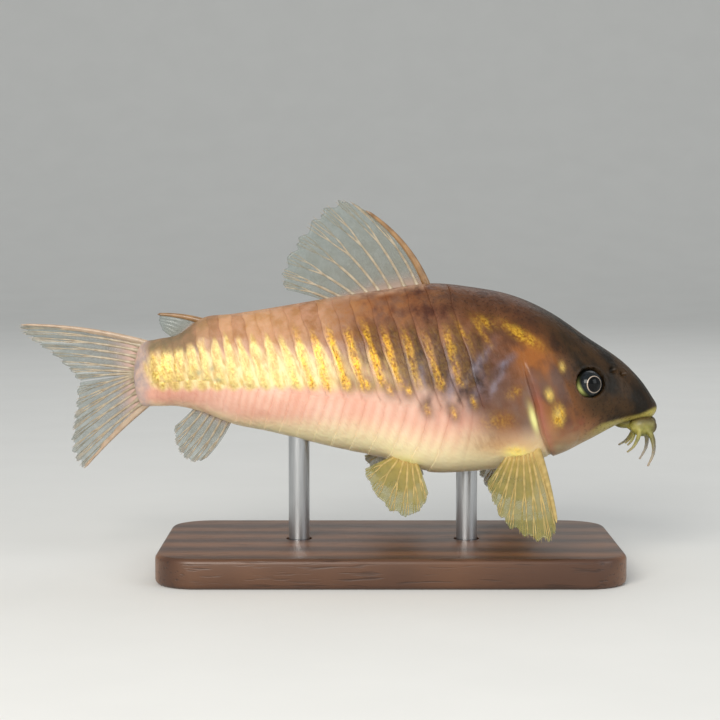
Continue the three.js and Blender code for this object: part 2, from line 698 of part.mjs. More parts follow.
const body = fish();
const catfish = new THREE.Group();
const add = (name, solid, material) => catfish.add(meshOf(name, solid, material));
add('head', body.head, MATERIALS.head);
add('torso', body.torso, MATERIALS.flank);
add('tail_stem', body.tail_stem, MATERIALS.flank);
const chinRoots = Object.values(SIDES).map((side) => barbelRoot('chin', side));
add('lower_lip', largest(join([lowerLip(0), ...chinRoots])), MATERIALS.lip);
add('dorsal_fin', dorsalFin(), MATERIALS.fin);
add('adipose_fin', adiposeFin(), MATERIALS.fin);
add('anal_fin', analFin(), MATERIALS.fin);
add('tail_fin_upper', tailLobe(true), MATERIALS.fin);
add('tail_fin_lower', tailLobe(false), MATERIALS.fin);
Object.entries(SIDES).forEach(([word, side]) => {
  add(`eye_${word}`, eyeball(side, 0), MATERIALS.eye);
  add(`gill_cover_${word}`, gillCover(side, 0), MATERIALS.cover);
  add(`pectoral_fin_${word}`, pectoralFin(side), MATERIALS.fin);
  add(`pelvic_fin_${word}`, pelvicFin(side), MATERIALS.fin);
  Object.keys(BARBELS).forEach((name) => add(`barbel_${name}_${word}`, barbel(name, side), MATERIALS.lip));
});
add('stand_base', standBase(), MATERIALS.wood);
Object.entries(ROD_XS).forEach(([word, place]) => add(`stand_rod_${word}`, standRod(place), MATERIALS.steel));

export default catfish;
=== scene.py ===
# %% [markdown]
# # A corydoras catfish on a display stand
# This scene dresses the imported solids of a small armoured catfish, as a life-size museum model in the
# pose of a living fish. The solids carry the true outline and sizes. Here they get a seamless skin with
# overlapping bony plates, wet eyes, soft lips and feelers, and thin fins with branching rays.
# The frame comes first, because every piece below takes its place from it. Places and sizes are written
# in millimetres and multiplied by MM, because the scene's unit is the metre.

# %% Load the frame
import math

import bpy
import numpy as np
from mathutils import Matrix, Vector


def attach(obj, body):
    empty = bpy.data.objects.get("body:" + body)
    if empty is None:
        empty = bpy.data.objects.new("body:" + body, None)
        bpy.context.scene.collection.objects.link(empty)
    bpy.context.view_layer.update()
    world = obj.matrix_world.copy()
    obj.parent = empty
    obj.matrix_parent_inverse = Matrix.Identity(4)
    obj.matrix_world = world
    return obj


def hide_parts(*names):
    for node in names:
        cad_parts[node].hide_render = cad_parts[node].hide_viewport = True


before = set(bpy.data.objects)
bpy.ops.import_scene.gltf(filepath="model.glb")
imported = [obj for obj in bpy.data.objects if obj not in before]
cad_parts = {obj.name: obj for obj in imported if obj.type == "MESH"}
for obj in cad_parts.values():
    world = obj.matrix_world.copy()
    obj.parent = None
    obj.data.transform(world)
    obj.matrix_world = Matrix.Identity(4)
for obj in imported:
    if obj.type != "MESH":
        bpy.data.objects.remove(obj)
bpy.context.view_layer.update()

MM = 0.001

# %% [markdown]
# ## The body's outline
# A fish is easiest to describe as a ship's hull: stations from snout to tail, each with the height of
# the back, the height of the belly and half the width. Sculpting would be freer, but these numbers are
# those of the solids, so that the skin lies on their surface.

# %% Stations of the hull
OUTLINE = np.array([
    # place, back, belly, half width
    (31.8, 19.3, 19.3, 0.0),       # tip of the snout
    (31.1, 20.7, 18.1, 1.8),       # front of the mouth
    (29.6, 22.8, 17.7, 2.9),       # corner of the mouth
    (27.2, 25.1, 17.3, 4.1),       # nostrils
    (23.3, 27.7, 15.4, 5.7),       # eyes
    (19.0, 30.6, 13.7, 6.9),       # cheeks
    (14.5, 32.6, 12.4, 7.6),       # shoulder
    (9.5, 33.6, 11.8, 7.8),        # chest
    (4.7, 34.0, 11.8, 7.4),        # front of the dorsal fin
    (-0.5, 33.3, 13.3, 6.7),       # pelvic fins
    (-7.0, 32.3, 14.6, 5.7),       # end of the dorsal fin
    (-14.0, 31.1, 16.3, 4.5),      # middle of the tail stem
    (-18.5, 30.4, 17.2, 3.7),      # front of the anal fin
    (-22.2, 29.9, 18.6, 3.1),      # front of the adipose fin
    (-25.2, 27.9, 19.3, 2.5),      # behind the adipose fin
    (-27.8, 27.3, 19.3, 1.9),      # tail stem at its thinnest
    (-29.8, 26.6, 19.6, 1.2),      # root of the tail fin
    (-30.6, 23.1, 23.1, 0.0),      # end of the hull, inside the tail fin
])
LAST = len(OUTLINE) - 1
TAIL_ROOT = OUTLINE[-1][0]
print(len(OUTLINE), "stations from", OUTLINE[0][0], "to", TAIL_ROOT, "mm")

# %% [markdown]
# ## One curve through the stations
# Straight runs from station to station would leave creases. A curve through four neighbours at a time has
# none and still passes through every number. Beyond each tip stands one more station, turned over, so
# that the curve closes the hull roundly.

# %% Curve through the stations
def mix(a, b, share):
    return a + (b - a) * share


def curve_through(a, b, c, d, f):
    """The smooth way from b to c, with a before them and d behind."""
    return 0.5 * (2 * b + (c - a) * f + (2 * a - 5 * b + 4 * c - d) * f**2 + (3 * b - a - 3 * c + d) * f**3)


def turned_over(row):
    """The station seen through a tip, which rounds the hull's end."""
    place, back, belly, half = row
    return (place, belly, back, -half)


HULL = np.vstack([turned_over(OUTLINE[1]), OUTLINE, turned_over(OUTLINE[-2])])


def section(t):
    """Place, back, belly and half width at a place t, counted in stations."""
    t = np.clip(np.asarray(t, float), 0, LAST)
    i = np.minimum(t.astype(int), LAST - 1)
    values = curve_through(HULL[i], HULL[i + 1], HULL[i + 2], HULL[i + 3], (t - i)[..., None])
    return np.moveaxis(values, -1, 0)


many_t = np.linspace(0, LAST, 6000)
many_x = section(many_t)[0]


def station_of(x):
    return np.interp(-np.asarray(x, float), -many_x, many_t)


print("the hull is", round(float(many_x[0] - many_x[-1]), 1), "mm long")

# %% [markdown]
# ## Soft steps and the swing of the tail
# Nothing on a fish begins or ends abruptly, so most formulas below need a soft step from 0 to 1. The
# tail half swings to the fish's left, as in a slow swim. The swing moves points sideways and leaves their
# place and height alone, so that a place measured on the flank stays true.

# %% Soft steps and the tail's swing
TAIL_BEND, TAIL_BEND_START, TAIL_TIP = 3.2, -6.0, -44.5


def ease(x, low, high):
    """0 before low and 1 after high, with a smooth rise between."""
    share = np.clip((x - low) / (high - low), 0, 1)
    return share * share * (3 - 2 * share)


def window(x, low, high, soft):
    """1 between low and high, and 0 outside, with soft flanks."""
    return ease(x, low - soft, low + soft) * (1 - ease(x, high - soft, high + soft))


def swing(x):
    """How far the fish's middle has swung to its left, towards the tail."""
    return TAIL_BEND * np.maximum(0, (TAIL_BEND_START - x) / (TAIL_BEND_START - TAIL_TIP)) ** 2


print("the tail's tip swings", round(float(swing(TAIL_TIP)), 1), "mm to the left")

# %% [markdown]
# ## Points of the skin
# Cut across, the body is nearly an ellipse whose widest level is the lateral line. A catfish is a little
# peaked at the back and flat under the chest, so the ellipse's power is changed above and below. One
# formula then gives any point of the skin, so that plates, eyes and fins can all be seated on it exactly.

# %% Points of the skin
LINE_LEVEL = 0.37                  # height of the lateral line, as a share of the depth
QUARTER = math.pi / 2
LEFT, RIGHT = 1, -1


def fullness(x):
    """The power of the section's curve above and below: 2 is an ellipse, less is peaked, more is flat."""
    roof = 2 - 0.2 * ease(x, -12, 2) * (1 - ease(x, 10, 20))
    keel = 2 + 0.9 * ease(x, -10, 4) * (1 - ease(x, 20, 30))
    return roof, keel


def skin(t, angle, side):
    """A point of the skin: angle 0 is the lateral line, a quarter turn up is the back."""
    x, back, belly, half = section(t)
    wide = mix(belly, back, LINE_LEVEL)
    up = np.sin(angle)
    power = 2 / np.where(up >= 0, *fullness(x))
    reach = np.where(up >= 0, back - wide, wide - belly)
    out = np.maximum(half, 0) * np.abs(np.cos(angle)) ** power
    rise = np.sign(up) * reach * np.abs(up) ** power
    return np.stack(np.broadcast_arrays(x, swing(x) + side * out, wide + rise), -1)


def facing(t, angle, side):
    """Which way the skin faces there, from two short steps along it."""
    step, tip = 0.02, 1e-3
    high = np.minimum(angle + step, QUARTER - tip)
    low = np.maximum(angle - step, tip - QUARTER)
    along = skin(np.maximum(t - step, 0), angle, side) - skin(np.minimum(t + step, LAST), angle, side)
    rising = skin(t, high, side) - skin(t, low, side)
    normal = np.cross(along, rising) * -np.asarray(side, float)[..., None]
    return normal / np.maximum(np.linalg.norm(normal, axis=-1, keepdims=True), 1e-9)


def angle_at(t, z):
    """The angle at which the skin of a section passes a height."""
    x, back, belly, _ = section(t)
    wide = mix(belly, back, LINE_LEVEL)
    above = z >= wide
    share = np.minimum(np.abs(z - wide) / np.where(above, back - wide, wide - belly), 1)
    return np.where(above, 1, -1) * np.arcsin(share ** (np.where(above, *fullness(x)) / 2))


print("the body is widest", LINE_LEVEL, "of the way up")

# %% [markdown]
# ## Where the plates lie
# Two rows of bony plates cover each flank and meet at the lateral line. Every plate leans, dives under
# the one in front of it and ends in a free rear edge. The plates get shorter towards the tail, each by
# the same share, so their edges follow from one series. The skin's own rings are laid along that lean,
# which puts a sharp step exactly on each edge.

# %% Lean and series of the plates
GILL_X = 16.9
PLATES_FRONT = {"above": 13.4, "below": 9.5}
PLATE_COUNT = {"above": 21, "below": 18}
PLATE_PITCH, PLATE_RATIO = 2.6, 0.9715      # length of the first plate, and each to the one before


def leaning(u, angle):
    """The station of a point on the leaning line that passes the lateral line at u."""
    _, back, belly, _ = section(station_of(u))
    wide = mix(belly, back, LINE_LEVEL)
    up = np.sin(angle)
    height = np.where(up >= 0, (back - wide) * up, (wide - belly) * -up)
    to_tail = 1 - ease(u, -26, -10)
    above = mix(0.3, 0.12, to_tail)
    below = mix(mix(-0.3, 0.3, 1 - ease(u, 7, 15)), 0.12, to_tail)
    ends = (1 - ease(u, 22, 30)) * ease(u, -30, -28)
    return station_of(np.maximum(u - height * np.where(up >= 0, above, below) * ends, TAIL_ROOT))


def plate_edges(row):
    """Where a row's edges cross the lateral line, from the first front edge to the last free edge."""
    number = np.arange(PLATE_COUNT[row] + 1)
    return PLATES_FRONT[row] - PLATE_PITCH * (1 - PLATE_RATIO**number) / (1 - PLATE_RATIO)


def plate_at(u, angle):
    """Which plate a point is on, and how far along it, from 0 at its front to 1 at its free edge."""
    above = angle >= 0
    front = np.where(above, PLATES_FRONT["above"], PLATES_FRONT["below"])
    gone = 1 - (front - u) / PLATE_PITCH * (1 - PLATE_RATIO)
    count = np.log(np.maximum(gone, 1e-6)) / math.log(PLATE_RATIO)
    number = np.floor(count + 1e-6)
    start = front - PLATE_PITCH * (1 - PLATE_RATIO**number) / (1 - PLATE_RATIO)
    share = (start - u) / (PLATE_PITCH * PLATE_RATIO**number)
    real = (number >= 0) & (number < np.where(above, PLATE_COUNT["above"], PLATE_COUNT["below"]))
    return number, np.clip(share, 0, 1), real


print("free edges, upper row:", np.round(plate_edges("above")[1:6], 1), "...")

# %% [markdown]
# ## Rings and rows of the skin's net
# The skin is one closed net of about 80,000 quads. A step needs two rings close together, one on the
# free edge and one just behind it, so the nearest rings are moved there. Rows are closer together near
# the lateral line, where the two rows of plates meet.

# %% Rings and rows
RING_STEP, ROWS = 0.172, 105
EDGE_TOP, EDGE_FOOT = 0.012, 0.03           # the two rings of a free edge, before and behind it


def rings_for(row):
    nose = section(np.linspace(0, 3, 36))[0]
    flank = np.arange(27.0, -28.4, -RING_STEP)
    end = section(np.linspace(station_of(-28.5), LAST, 20))[0]
    rings = np.concatenate([nose, flank, end])
    for edge in plate_edges(row)[1:]:
        i = np.argmin(np.abs(rings - edge))
        if rings[i] < edge:
            i -= 1
        rings[i], rings[i + 1] = edge + EDGE_TOP, edge - EDGE_FOOT
    return rings


rings = {row: rings_for(row) for row in ("above", "below")}
spread = np.linspace(-1, 1, ROWS)
half_ring = QUARTER * (0.78 * spread + 0.22 * spread**3)
ring_angle = np.concatenate([half_ring, half_ring[-2:0:-1], half_ring[:1]])
ring_side = np.concatenate([np.full(ROWS, LEFT), np.full(ROWS - 1, RIGHT)])
print(len(rings["above"]), "rings of", len(ring_angle) - 1, "points")

# %% [markdown]
# ## Helpers for nets
# A flat grid is added by its operator, and its points are then laid by a formula, which no edit operator
# could place so exactly. The skin and the fins' membranes are made this way. Numbers that a material
# needs later are stored on the points.

# %% Nets
def deselect():
    bpy.ops.object.select_all(action="DESELECT")


def only(piece):
    deselect()
    piece.select_set(True)
    bpy.context.view_layer.objects.active = piece


def grid_net(name, across, along):
    """A flat grid from its operator, with each point's column and row."""
    deselect()
    bpy.ops.mesh.primitive_grid_add(x_subdivisions=across, y_subdivisions=along, size=2, location=(0, 0, 0))
    net = bpy.context.object
    net.name = net.data.name = name
    at = np.empty(len(net.data.vertices) * 3)
    net.data.vertices.foreach_get("co", at)
    at = at.reshape(-1, 3)
    column = np.rint((at[:, 0] + 1) / 2 * across).astype(int)
    row = np.rint((at[:, 1] + 1) / 2 * along).astype(int)
    return net, column, row


def place_points(piece, points):
    piece.data.vertices.foreach_set("co", (points * MM).astype(np.float32).ravel())
    piece.data.update()


def store(piece, name, values):
    numbers = piece.data.attributes.new(name, "FLOAT", "POINT")
    numbers.data.foreach_set("value", np.asarray(values, np.float32).ravel())


print("a net's points are set in mm, so 1 is", MM, "m")

# %% [markdown]
# ## Lay the net round the hull
# Each column of the grid becomes a row along the body and each row a ring round it. A slight wave keeps
# the plates' edges from looking ruled. Every plate also draws one chance number, because no two plates
# of a living fish are quite alike, and its height and colour follow that number below.

# %% Net on the hull
chance = np.random.default_rng(5)
plate_wobble = chance.uniform(-1, 1, (2, 2, 40))
fish_skin, column, row = grid_net("fish_skin", len(ring_angle) - 1, len(rings["above"]) - 1)
angle, side = ring_angle[column], ring_side[column]
above = angle >= 0
u = mix(rings["below"][row], rings["above"][row], ease(angle, -0.06, 0.06))
wave = 0.10 * np.sin(angle * 7 + u * 1.1 + side) + 0.06 * np.sin(angle * 17 + u * 2.3)
t = leaning(u + wave * np.where(angle > 0, 1.0, 0.35) * ease(u, -28, -24) * (1 - ease(u, 11, 14)), angle)
t[row == 0] = 0
t[row == row.max()] = LAST
on_hull = skin(t, angle, side)
x, z = on_hull[:, 0], on_hull[:, 2]
out = np.abs(on_hull[:, 1] - swing(x))
number, share, real = plate_at(u, angle)
draw = plate_wobble[above.astype(int), (side > 0).astype(int), np.clip(number, 0, 39).astype(int)]
print("the net has", len(on_hull), "points,", int(real.sum()), "of them on plates")

# %% [markdown]
# ## Relief of the plates
# All of the skin's relief is a height above the hull, in millimetres. The plates come first. Each rises
# from its front to its free edge, is lower along the lateral line and the back, and fades out towards
# the tail fin. They stand only about a quarter of a millimetre proud, so most of the effect comes from
# the crisp edge. A displacement modifier would need a picture of the relief. Moving each point needs none.

# %% Height of the plates
PLATE_RISE = 0.27
BACK_STRIP, BELLY_STRIP = 0.95, 1.6         # bare skin on either side of the middle
past_back, past_belly = out - BACK_STRIP, out - BELLY_STRIP
strip = np.where(above, ease(past_back, -0.2, 0.3), ease(past_belly, -0.3, 0.4))
middle = 0.55 + 0.45 * ease(np.abs(angle) * 11, 0.05, 0.6)
fade = ease(u, -29.2, -27) * np.where(above, 1 - 0.45 * ease(angle, 0.7, 1.3), 0.45)
profile = 0.12 + 0.88 * share**1.25 - 0.25 * ease(share, 0.93, 1.0)
height = real * PLATE_RISE * profile * strip * middle * fade * (1 + 0.16 * draw)
print("plates stand up to", round(height.max(), 2), "mm proud")

# %% [markdown]
# ## Relief of the head
# The skin sinks into a socket round each eye and rises to a low ring there. Each nostril is a small pit
# with a rim. The gill opening is a narrow groove behind a cover whose rear edge stands up, and the skin
# swells where the paired fins grow out of it. All of it is added to the plates' height before the points
# are moved, so that each point moves only once.

# %% Eye sockets, nostrils, gill and fin roots
EYE_X, EYE_Z, EYE_RADIUS, EYE_SUNK = 23.3, 22.6, 1.72, 0.86
SOCKET_DEPTH, EYE_RING = 1.25, 0.07
NOSTRILS = [(27.3, 23.5, 0.42), (26.1, 24.0, 0.5)]
FIN_ROOTS = [((15.4, 14.4), (2.0, 0.8), -0.1, 0.3), ((1.7, 13.4), (1.5, 0.7), -0.2, 0.22)]


def ridge(x, at, width):
    """1 at one place, falling off softly to both sides."""
    return np.exp(-(((x - at) / width) ** 2))


def humps(x, z, places):
    """Soft long spots added up. Each has its middle, its two sizes, its turn and its strength."""
    total = 0
    for at, size, turn, weight in places:
        dx, dz = x - at[0], z - at[1]
        c, s = math.cos(turn), math.sin(turn)
        far = ((dx * c + dz * s) / size[0]) ** 2 + ((dz * c - dx * s) / size[1]) ** 2
        total = total + weight * np.exp(-far)
    return total


from_eye = np.hypot(x - EYE_X, z - EYE_Z)
height += EYE_RING * ridge(from_eye, 2.0, 0.35) - SOCKET_DEPTH * (1 - ease(from_eye, 1.46, 1.74))
for hole_x, hole_z, radius in NOSTRILS:
    hole = np.hypot(x - hole_x, z - hole_z)
    height += 0.08 * ridge(hole, radius + 0.1, 0.15) - 0.5 * (1 - ease(hole, radius * 0.5, radius * 0.95))

ahead = u - GILL_X
slit = ease(angle, -1.52, -1.35) * (1 - ease(angle, 0.2, 0.55))
cover_front = GILL_X + 4.6 - 1.1 * ((angle + 0.24) / 0.74) ** 2
height -= 0.3 * ridge(ahead, 0, 0.2) * slit
height += 0.2 * ease(ahead, 0.02, 0.3) * (1 - ease(ahead, 1.5, 5.0)) * slit
height -= 0.08 * ridge(u, cover_front, 0.22) * window(angle, -0.98, 0.55, 0.12)
height += humps(x, z, FIN_ROOTS)
height *= ease(t, 0.0, 0.35) * (1 - ease(t, LAST - 0.6, LAST))
place_points(fish_skin, on_hull + facing(t, angle, side) * height[:, None])
print("relief of the whole skin from", round(height.min(), 2), "to", round(height.max(), 2), "mm")

# %% [markdown]
# ## Bands along the body
# The colours of this fish lie in bands that follow the plates: a coppery back, a pale gold band along
# the tail half, salmon below it and a cream belly. They could be painted on a picture, but that would
# need a seam. Instead each marking is a mask from 0 to 1, worked out from place and plate, and the
# material mixes its colours by these masks. Heights and places are in millimetres, as on the hull.

# %% Masks of the bands
_, back, belly, _ = section(station_of(x))
depth = (z - belly) / np.maximum(back - belly, 0.5)     # 0 at the belly's edge, 1 at the back's
to_front, to_chest = ease(x, -10, 8), ease(x, -18, -4)
flame = window(share, 0.36 + 0.06 * draw, 0.9, 0.2)     # one light tongue on each plate
crisp = mix(0.4, 1.1, ease(x, -12, -2))
band_top = np.minimum(26.0 + 1.7 * flame + 0.4 * draw, mix(25.7, 30, ease(x, -28, -14)))
band_foot = mix(21.5, 22.0, ease(x, -28, -8)) + 0.14 * np.cos(share * 2 * math.pi)
band = ease(z, band_foot - crisp, band_foot + crisp) * (1 - ease(z, band_top - 1.0, band_top + 0.5))
rounded_end = ease(x - 0.6 * ((z - 23.9) / 1.7) ** 2, -29.5, -28.5)
both_edges = ridge(share, 1, 0.08) + 0.6 * ridge(share, 0, 0.09)
marks = {
    "back": ease(depth, mix(0.48, 0.56, to_front), mix(0.76, 0.8, to_front)),
    "belly": 1 - ease(depth, mix(0.0, 0.08, to_chest), mix(0.16, 0.3, to_chest)),
    "band": band * window(x, -32, -4.2, 4.5) * rounded_end,
    "rosy": (1 - ease(x, -26, -13)) * (1 - ease(z, 21.0, 22.4)),
    "stem": (1 - ease(x, -27, -18)) * ease(z, 24.6, 26.4),
    "end": 1 - ease(x + 0.25 * np.sin(z * 2.2), -29.6, -28.0),
    "muscle": (0.5 + 0.5 * np.cos(share * 4 * math.pi + draw)) * (1 - above) * real * ease(depth, 0.05, 0.25),
    "tint": 0.5 + 0.5 * draw * real,
    "edge": real * both_edges * mix(0.3, 1.0, ease(x, -10, 4))
    * np.where(above, (1 - 0.7 * ease(depth, 0.7, 0.95)) * (1 - 0.7 * band), 0.3),
}
marks["gleam"] = np.clip(humps(x, z, [((-26.8, 24.0), (1.9, 1.6), 0, 1)])
                         + mix(0.75, 0.5, ease(x, -14, -7)) * flame * marks["band"], 0, 1)
print("the gold band covers", round(100 * float((marks["band"] > 0.5).mean())), "% of the net's points")

# %% [markdown]
# ## Bars on the front plates, and the head
# In front of the band the ground turns brown. Each front plate has one upright gold bar on its rear half
# and a dark one on its front half, so the bars take their place from the plate itself. The shoulder,
# nape and crown are dark, and the head is the darkest, with pale skin along the mouth and chin.

# %% Masks of the bars and the head
bar = window(share + 0.05 * draw + 0.02 * np.sin(z * 3.1), 0.48, 0.87, 0.12)
bar_low, bar_top = 22.0 + 0.4 * draw, 29.6 - 0.04 * (x + 6) + 0.7 * draw
bar_reach = ease(z, bar_low - 0.5, bar_low + 0.5) * (1 - ease(z, bar_top - 2.4, bar_top + 0.4))
gap = window(share + 0.03 * np.sin(z * 2.3), -0.3, 0.45, 0.12)
brown_foot = mix(24.0, 21.4, ease(x, -4, 6))
gap_reach = ease(z, brown_foot - 0.4, brown_foot + 1.6) * (1 - ease(z, 28.2, 30.5))
mouth_line = np.interp(x, [22.0, 24.7, 27.1, 29.4, 31.2], [16.4, 17.9, 18.3, 18.8, 19.5])
marks |= {
    "gold": bar * window(x, -11.0, 8.6, 2.4) * bar_reach * above * real
    * (mix(1, 0.75, ease(x, -3, 5)) - 0.4 * ridge(x, 3.3, 1.2)),
    "dark": gap * window(x, -4.2, 11.0, 2.4) * gap_reach * above * real,
    "saddle": window(x, -5.5, 9.5, 3.5) * ease(z, brown_foot, brown_foot + 2),
    "ochre": window(x, -5.5, 4.0, 2.5) * ease(z, 21.3, 22.3) * (1 - ease(z, 24.4, 27.0)),
    "fin_foot": window(x, -7.6, 4.2, 0.5) * (1 - ease(out, 0.9, 2.2)) * above,
    "shoulder": ease(x - 0.5 * np.maximum(20 - z, 0), 6.6, 11.6) * ease(z, 14.6, 18.4),
    "nape": ease(u, 9, 13) * ease(z, 22.5, 25.5),
    "crown": ease(x, -3, 11) * ease(depth, 0.72, 0.93),
    "head": ease(x + 0.42 * (z - 22), 18.4, 23.2),
    "under": (1 - ease(depth, 0.02, 0.16)) * ease(u, 18, 24),
    "slit": ridge(u, GILL_X + 0.35, 0.55) * window(angle, -1.2, 0.2, 0.3),
    "mouth": (1 - ease(z, mouth_line - 0.5, mouth_line + 0.1)) * ease(x, 22, 26),
}
print("masks so far:", len(marks))

# %% [markdown]
# ## Flecks and smudges
# The rest of the pattern is single spots that follow no plate: gold flecks on the head, gold dots in
# dark rings where the bars end, blue-grey and inky streaks behind the gill, and soft patches of colour,
# with two kinds of painted highlight: a lighter stretch along the middle of the gold band, and pale
# glints at the pectoral fin's root and on the head.
# Each is a soft oval, listed by its middle, its two half sizes, its turn in radians and its strength.

# %% Masks of the spots
GOLD_DOTS = [(-4.9, 22.6), (-2.7, 22.5), (-0.1, 22.0), (2.1, 21.8), (4.2, 19.7), (7.3, 19.3), (9.6, 20.6)]
SPOTS = {
    "dots": [(at, (0.34, 0.62), 0.35, 1) for at in GOLD_DOTS],
    "halo": [(at, (0.75, 1.1), 0.35, 1) for at in GOLD_DOTS],
    "flecks": [((18.3, 21.4), (0.4, 0.65), 0.3, 0.8), ((19.4, 18.9), (0.6, 1.0), 0.1, 1.7),
               ((19.9, 24.5), (0.32, 0.5), 0.2, 0.7), ((15.2, 28.2), (2.1, 0.5), -0.54, 1.5),
               ((10.9, 29.6), (1.1, 0.55), -0.5, 0.8), ((14.2, 21.6), (0.8, 0.5), 0.4, 0.5),
               ((14.5, 15.0), (1.1, 0.3), -0.05, 0.5), ((12.2, 18.2), (1.7, 0.9), 0.15, 0.34),
               ((10.6, 28.4), (1.5, 0.24), -0.95, 0.7), ((8.2, 28.6), (1.5, 0.24), -1.05, 0.7)],
    # painted highlights: pale spots at the pectoral fin's root and on the head, standing for shine off the
    # skin
    "painted_glint": [((14.6, 14.8), (0.95, 0.42), -0.05, 1.5), ((19.4, 18.9), (0.5, 0.85), 0.1, 1.1),
              ((18.3, 21.4), (0.36, 0.6), 0.3, 0.9), ((19.9, 24.5), (0.28, 0.45), 0.2, 0.7)],
    "pale": [((14.8, 14.3), (1.5, 0.7), -0.1, 1.1), ((1.9, 13.3), (1.6, 0.7), -0.2, 1),
             ((16.55, 18.5), (0.36, 1.5), 0.29, 1.2)],
    "streaks": [((10.2, 25.0), (0.45, 2.4), -0.6, 1), ((12.1, 22.6), (0.4, 2.0), -0.5, 1),
                ((7.0, 22.4), (0.5, 1.7), -0.1, 1), ((3.6, 23.4), (0.45, 1.6), 0.1, 1),
                ((13.4, 25.2), (0.4, 1.2), -0.9, 1), ((9.6, 21.0), (0.5, 1.4), -0.4, 1)],
    "ink": [((9.4, 24.2), (0.7, 1.6), -0.6, 1), ((6.0, 24.4), (0.6, 1.5), -0.2, 1),
            ((3.4, 25.6), (0.6, 1.7), 0.0, 1), ((7.9, 20.9), (0.4, 0.9), -0.3, 1),
            ((4.4, 20.9), (0.4, 0.8), -0.3, 1), ((13.0, 24.6), (0.5, 1.4), -0.7, 1)],
    "violet": [((7.6, 24.4), (6.4, 4.6), -0.2, 1.35)],
    "dusk": [((11.4, 16.1), (3.6, 1.9), 0.1, 1.2)],
    # painted highlight: the gold band is drawn lighter along its middle, where the light falls brightest
    "painted_band_highlight": [((-14.0, 22.9), (8.5, 1.6), 0.0, 1)],
    "armpit": [((14.4, 15.2), (2.8, 1.3), 0.0, 1)],
    "cheek": [((19.8, 18.0), (3.6, 4.6), 0.3, 1.35)],
    "jowl": [((20.6, 16.4), (3.2, 1.1), 0.42, 1), ((18.3, 17.4), (0.9, 1.8), 0.2, 1)],
    "blush": [((21.4, 17.5), (1.9, 0.8), 0.3, 1.3)],
    "smudge": [((-22.7, 23.5), (0.7, 0.32), 0.2, 1), ((-20.8, 24.1), (0.5, 0.3), 0.6, 1),
               ((-20.2, 22.8), (0.6, 0.25), 0.1, 1)],
}
marks |= {name: np.clip(humps(x, z, places), 0, 1) for name, places in SPOTS.items()}
marks["halo"] *= 1 - marks["dots"]
marks["violet"] *= 1 - ease(u, 15.5, 17.2)
marks["cheek"] *= ease(u, 16.8, 17.3)
print("masks in all:", len(marks))

# %% [markdown]
# ## Close the skin
# The net still has an open seam along the belly, and its first and last rings are single points lying on
# top of one another. Merging doubles closes them all, and the plates' edges stay sharp because only
# faces that meet at less than 50 degrees are shaded smooth. The skin then takes the place of the solids.

# %% Close the skin
for name, values in marks.items():
    store(fish_skin, name, values)
only(fish_skin)
bpy.ops.object.mode_set(mode="EDIT")
bpy.ops.mesh.select_all(action="SELECT")
bpy.ops.mesh.remove_doubles(threshold=0.002 * MM)
bpy.ops.mesh.normals_make_consistent(inside=False)
bpy.ops.object.mode_set(mode="OBJECT")
bpy.ops.object.shade_smooth_by_angle(angle=math.radians(50))
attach(fish_skin, "root")
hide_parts("head", "torso", "tail_stem", "gill_cover_left", "gill_cover_right")
print("skin:", len(fish_skin.data.polygons), "faces")

# %% [markdown]
# ## Materials by nodes
# One small function adds a node with its settings and fills its inputs. It gives back the node's output,
# so a line of code can use it at once. Colours are written as they look on a screen and turned to linear
# values in one place.

# %% Nodes and colours
def shade(code):
    """An sRGB hex colour as linear values."""
    parts = [int(code[i:i + 2], 16) / 255 for i in (1, 3, 5)]
    return tuple(p / 12.92 if p <= 0.04045 else ((p + 0.055) / 1.055) ** 2.4 for p in parts) + (1.0,)


def new_material(name):
    material = bpy.data.materials.new(name)
    material.use_nodes = True
    return material, material.node_tree, material.node_tree.nodes["Principled BSDF"]


def fill(tree, made, inputs):
    """Links each input to an output, or sets it to a number, a vector or a hex colour."""
    for key, value in inputs.items():
        if isinstance(value, bpy.types.NodeSocket):
            tree.links.new(value, made.inputs[key])
        else:
            made.inputs[key].default_value = shade(value) if isinstance(value, str) else value


def node(tree, kind, inputs=None, out=None, **settings):
    """Adds a node with its settings and inputs, and gives its named output, or the first one in use."""
    made = tree.nodes.new(f"ShaderNode{kind}")
    for key, value in settings.items():
        setattr(made, key, value)
    fill(tree, made, inputs or {})
    return made.outputs[out] if out else next(output for output in made.outputs if output.enabled)


print("mid grey is", round(shade("#808080")[0], 3), "in linear values")

# %% [markdown]
# ## Layers and mottles
# Two more helpers stand for what a maker does again and again: lay one colour over another, and speckle
# a surface in spots of a real size. A picture could be laid on instead, but it would have a seam and
# only one scale.

# %% Layers and mottles
def layered(tree, colour, *layers):
    """Lays colours over a first one. Each layer says how much it covers, from 0 to 1, and with which
    colour, or with which pattern between which two colours."""
    for cover, paint in layers:
        if isinstance(paint, tuple):
            pattern, dark, light = paint
            paint = layered(tree, dark, (pattern, light))
        colour = node(tree, "Mix", {0: cover, 6: colour, 7: paint}, data_type="RGBA")
    return colour


def mottle(tree, size_mm, detail=3.0, low=0.35, high=0.65, stretch=1.0, lean=0.0):
    """Noise whose blotches are about size_mm across, stretched to the full 0 to 1. They can be drawn out
    upwards, leaning to the tail."""
    spot = node(tree, "TexCoord", out="Object")
    if stretch != 1:
        spot = node(tree, "Mapping", {"Vector": spot, "Rotation": (0, -lean, 0), "Scale": (1, 1, stretch)},
                    vector_type="TEXTURE")
    noise = node(tree, "TexNoise", {"Vector": spot, "Scale": 0.5 / (size_mm * MM), "Detail": detail})
    return node(tree, "MapRange", {"Value": noise, "From Min": low, "From Max": high})


print("a mottle of 0.5 mm has the scale", 0.5 / (0.5 * MM))

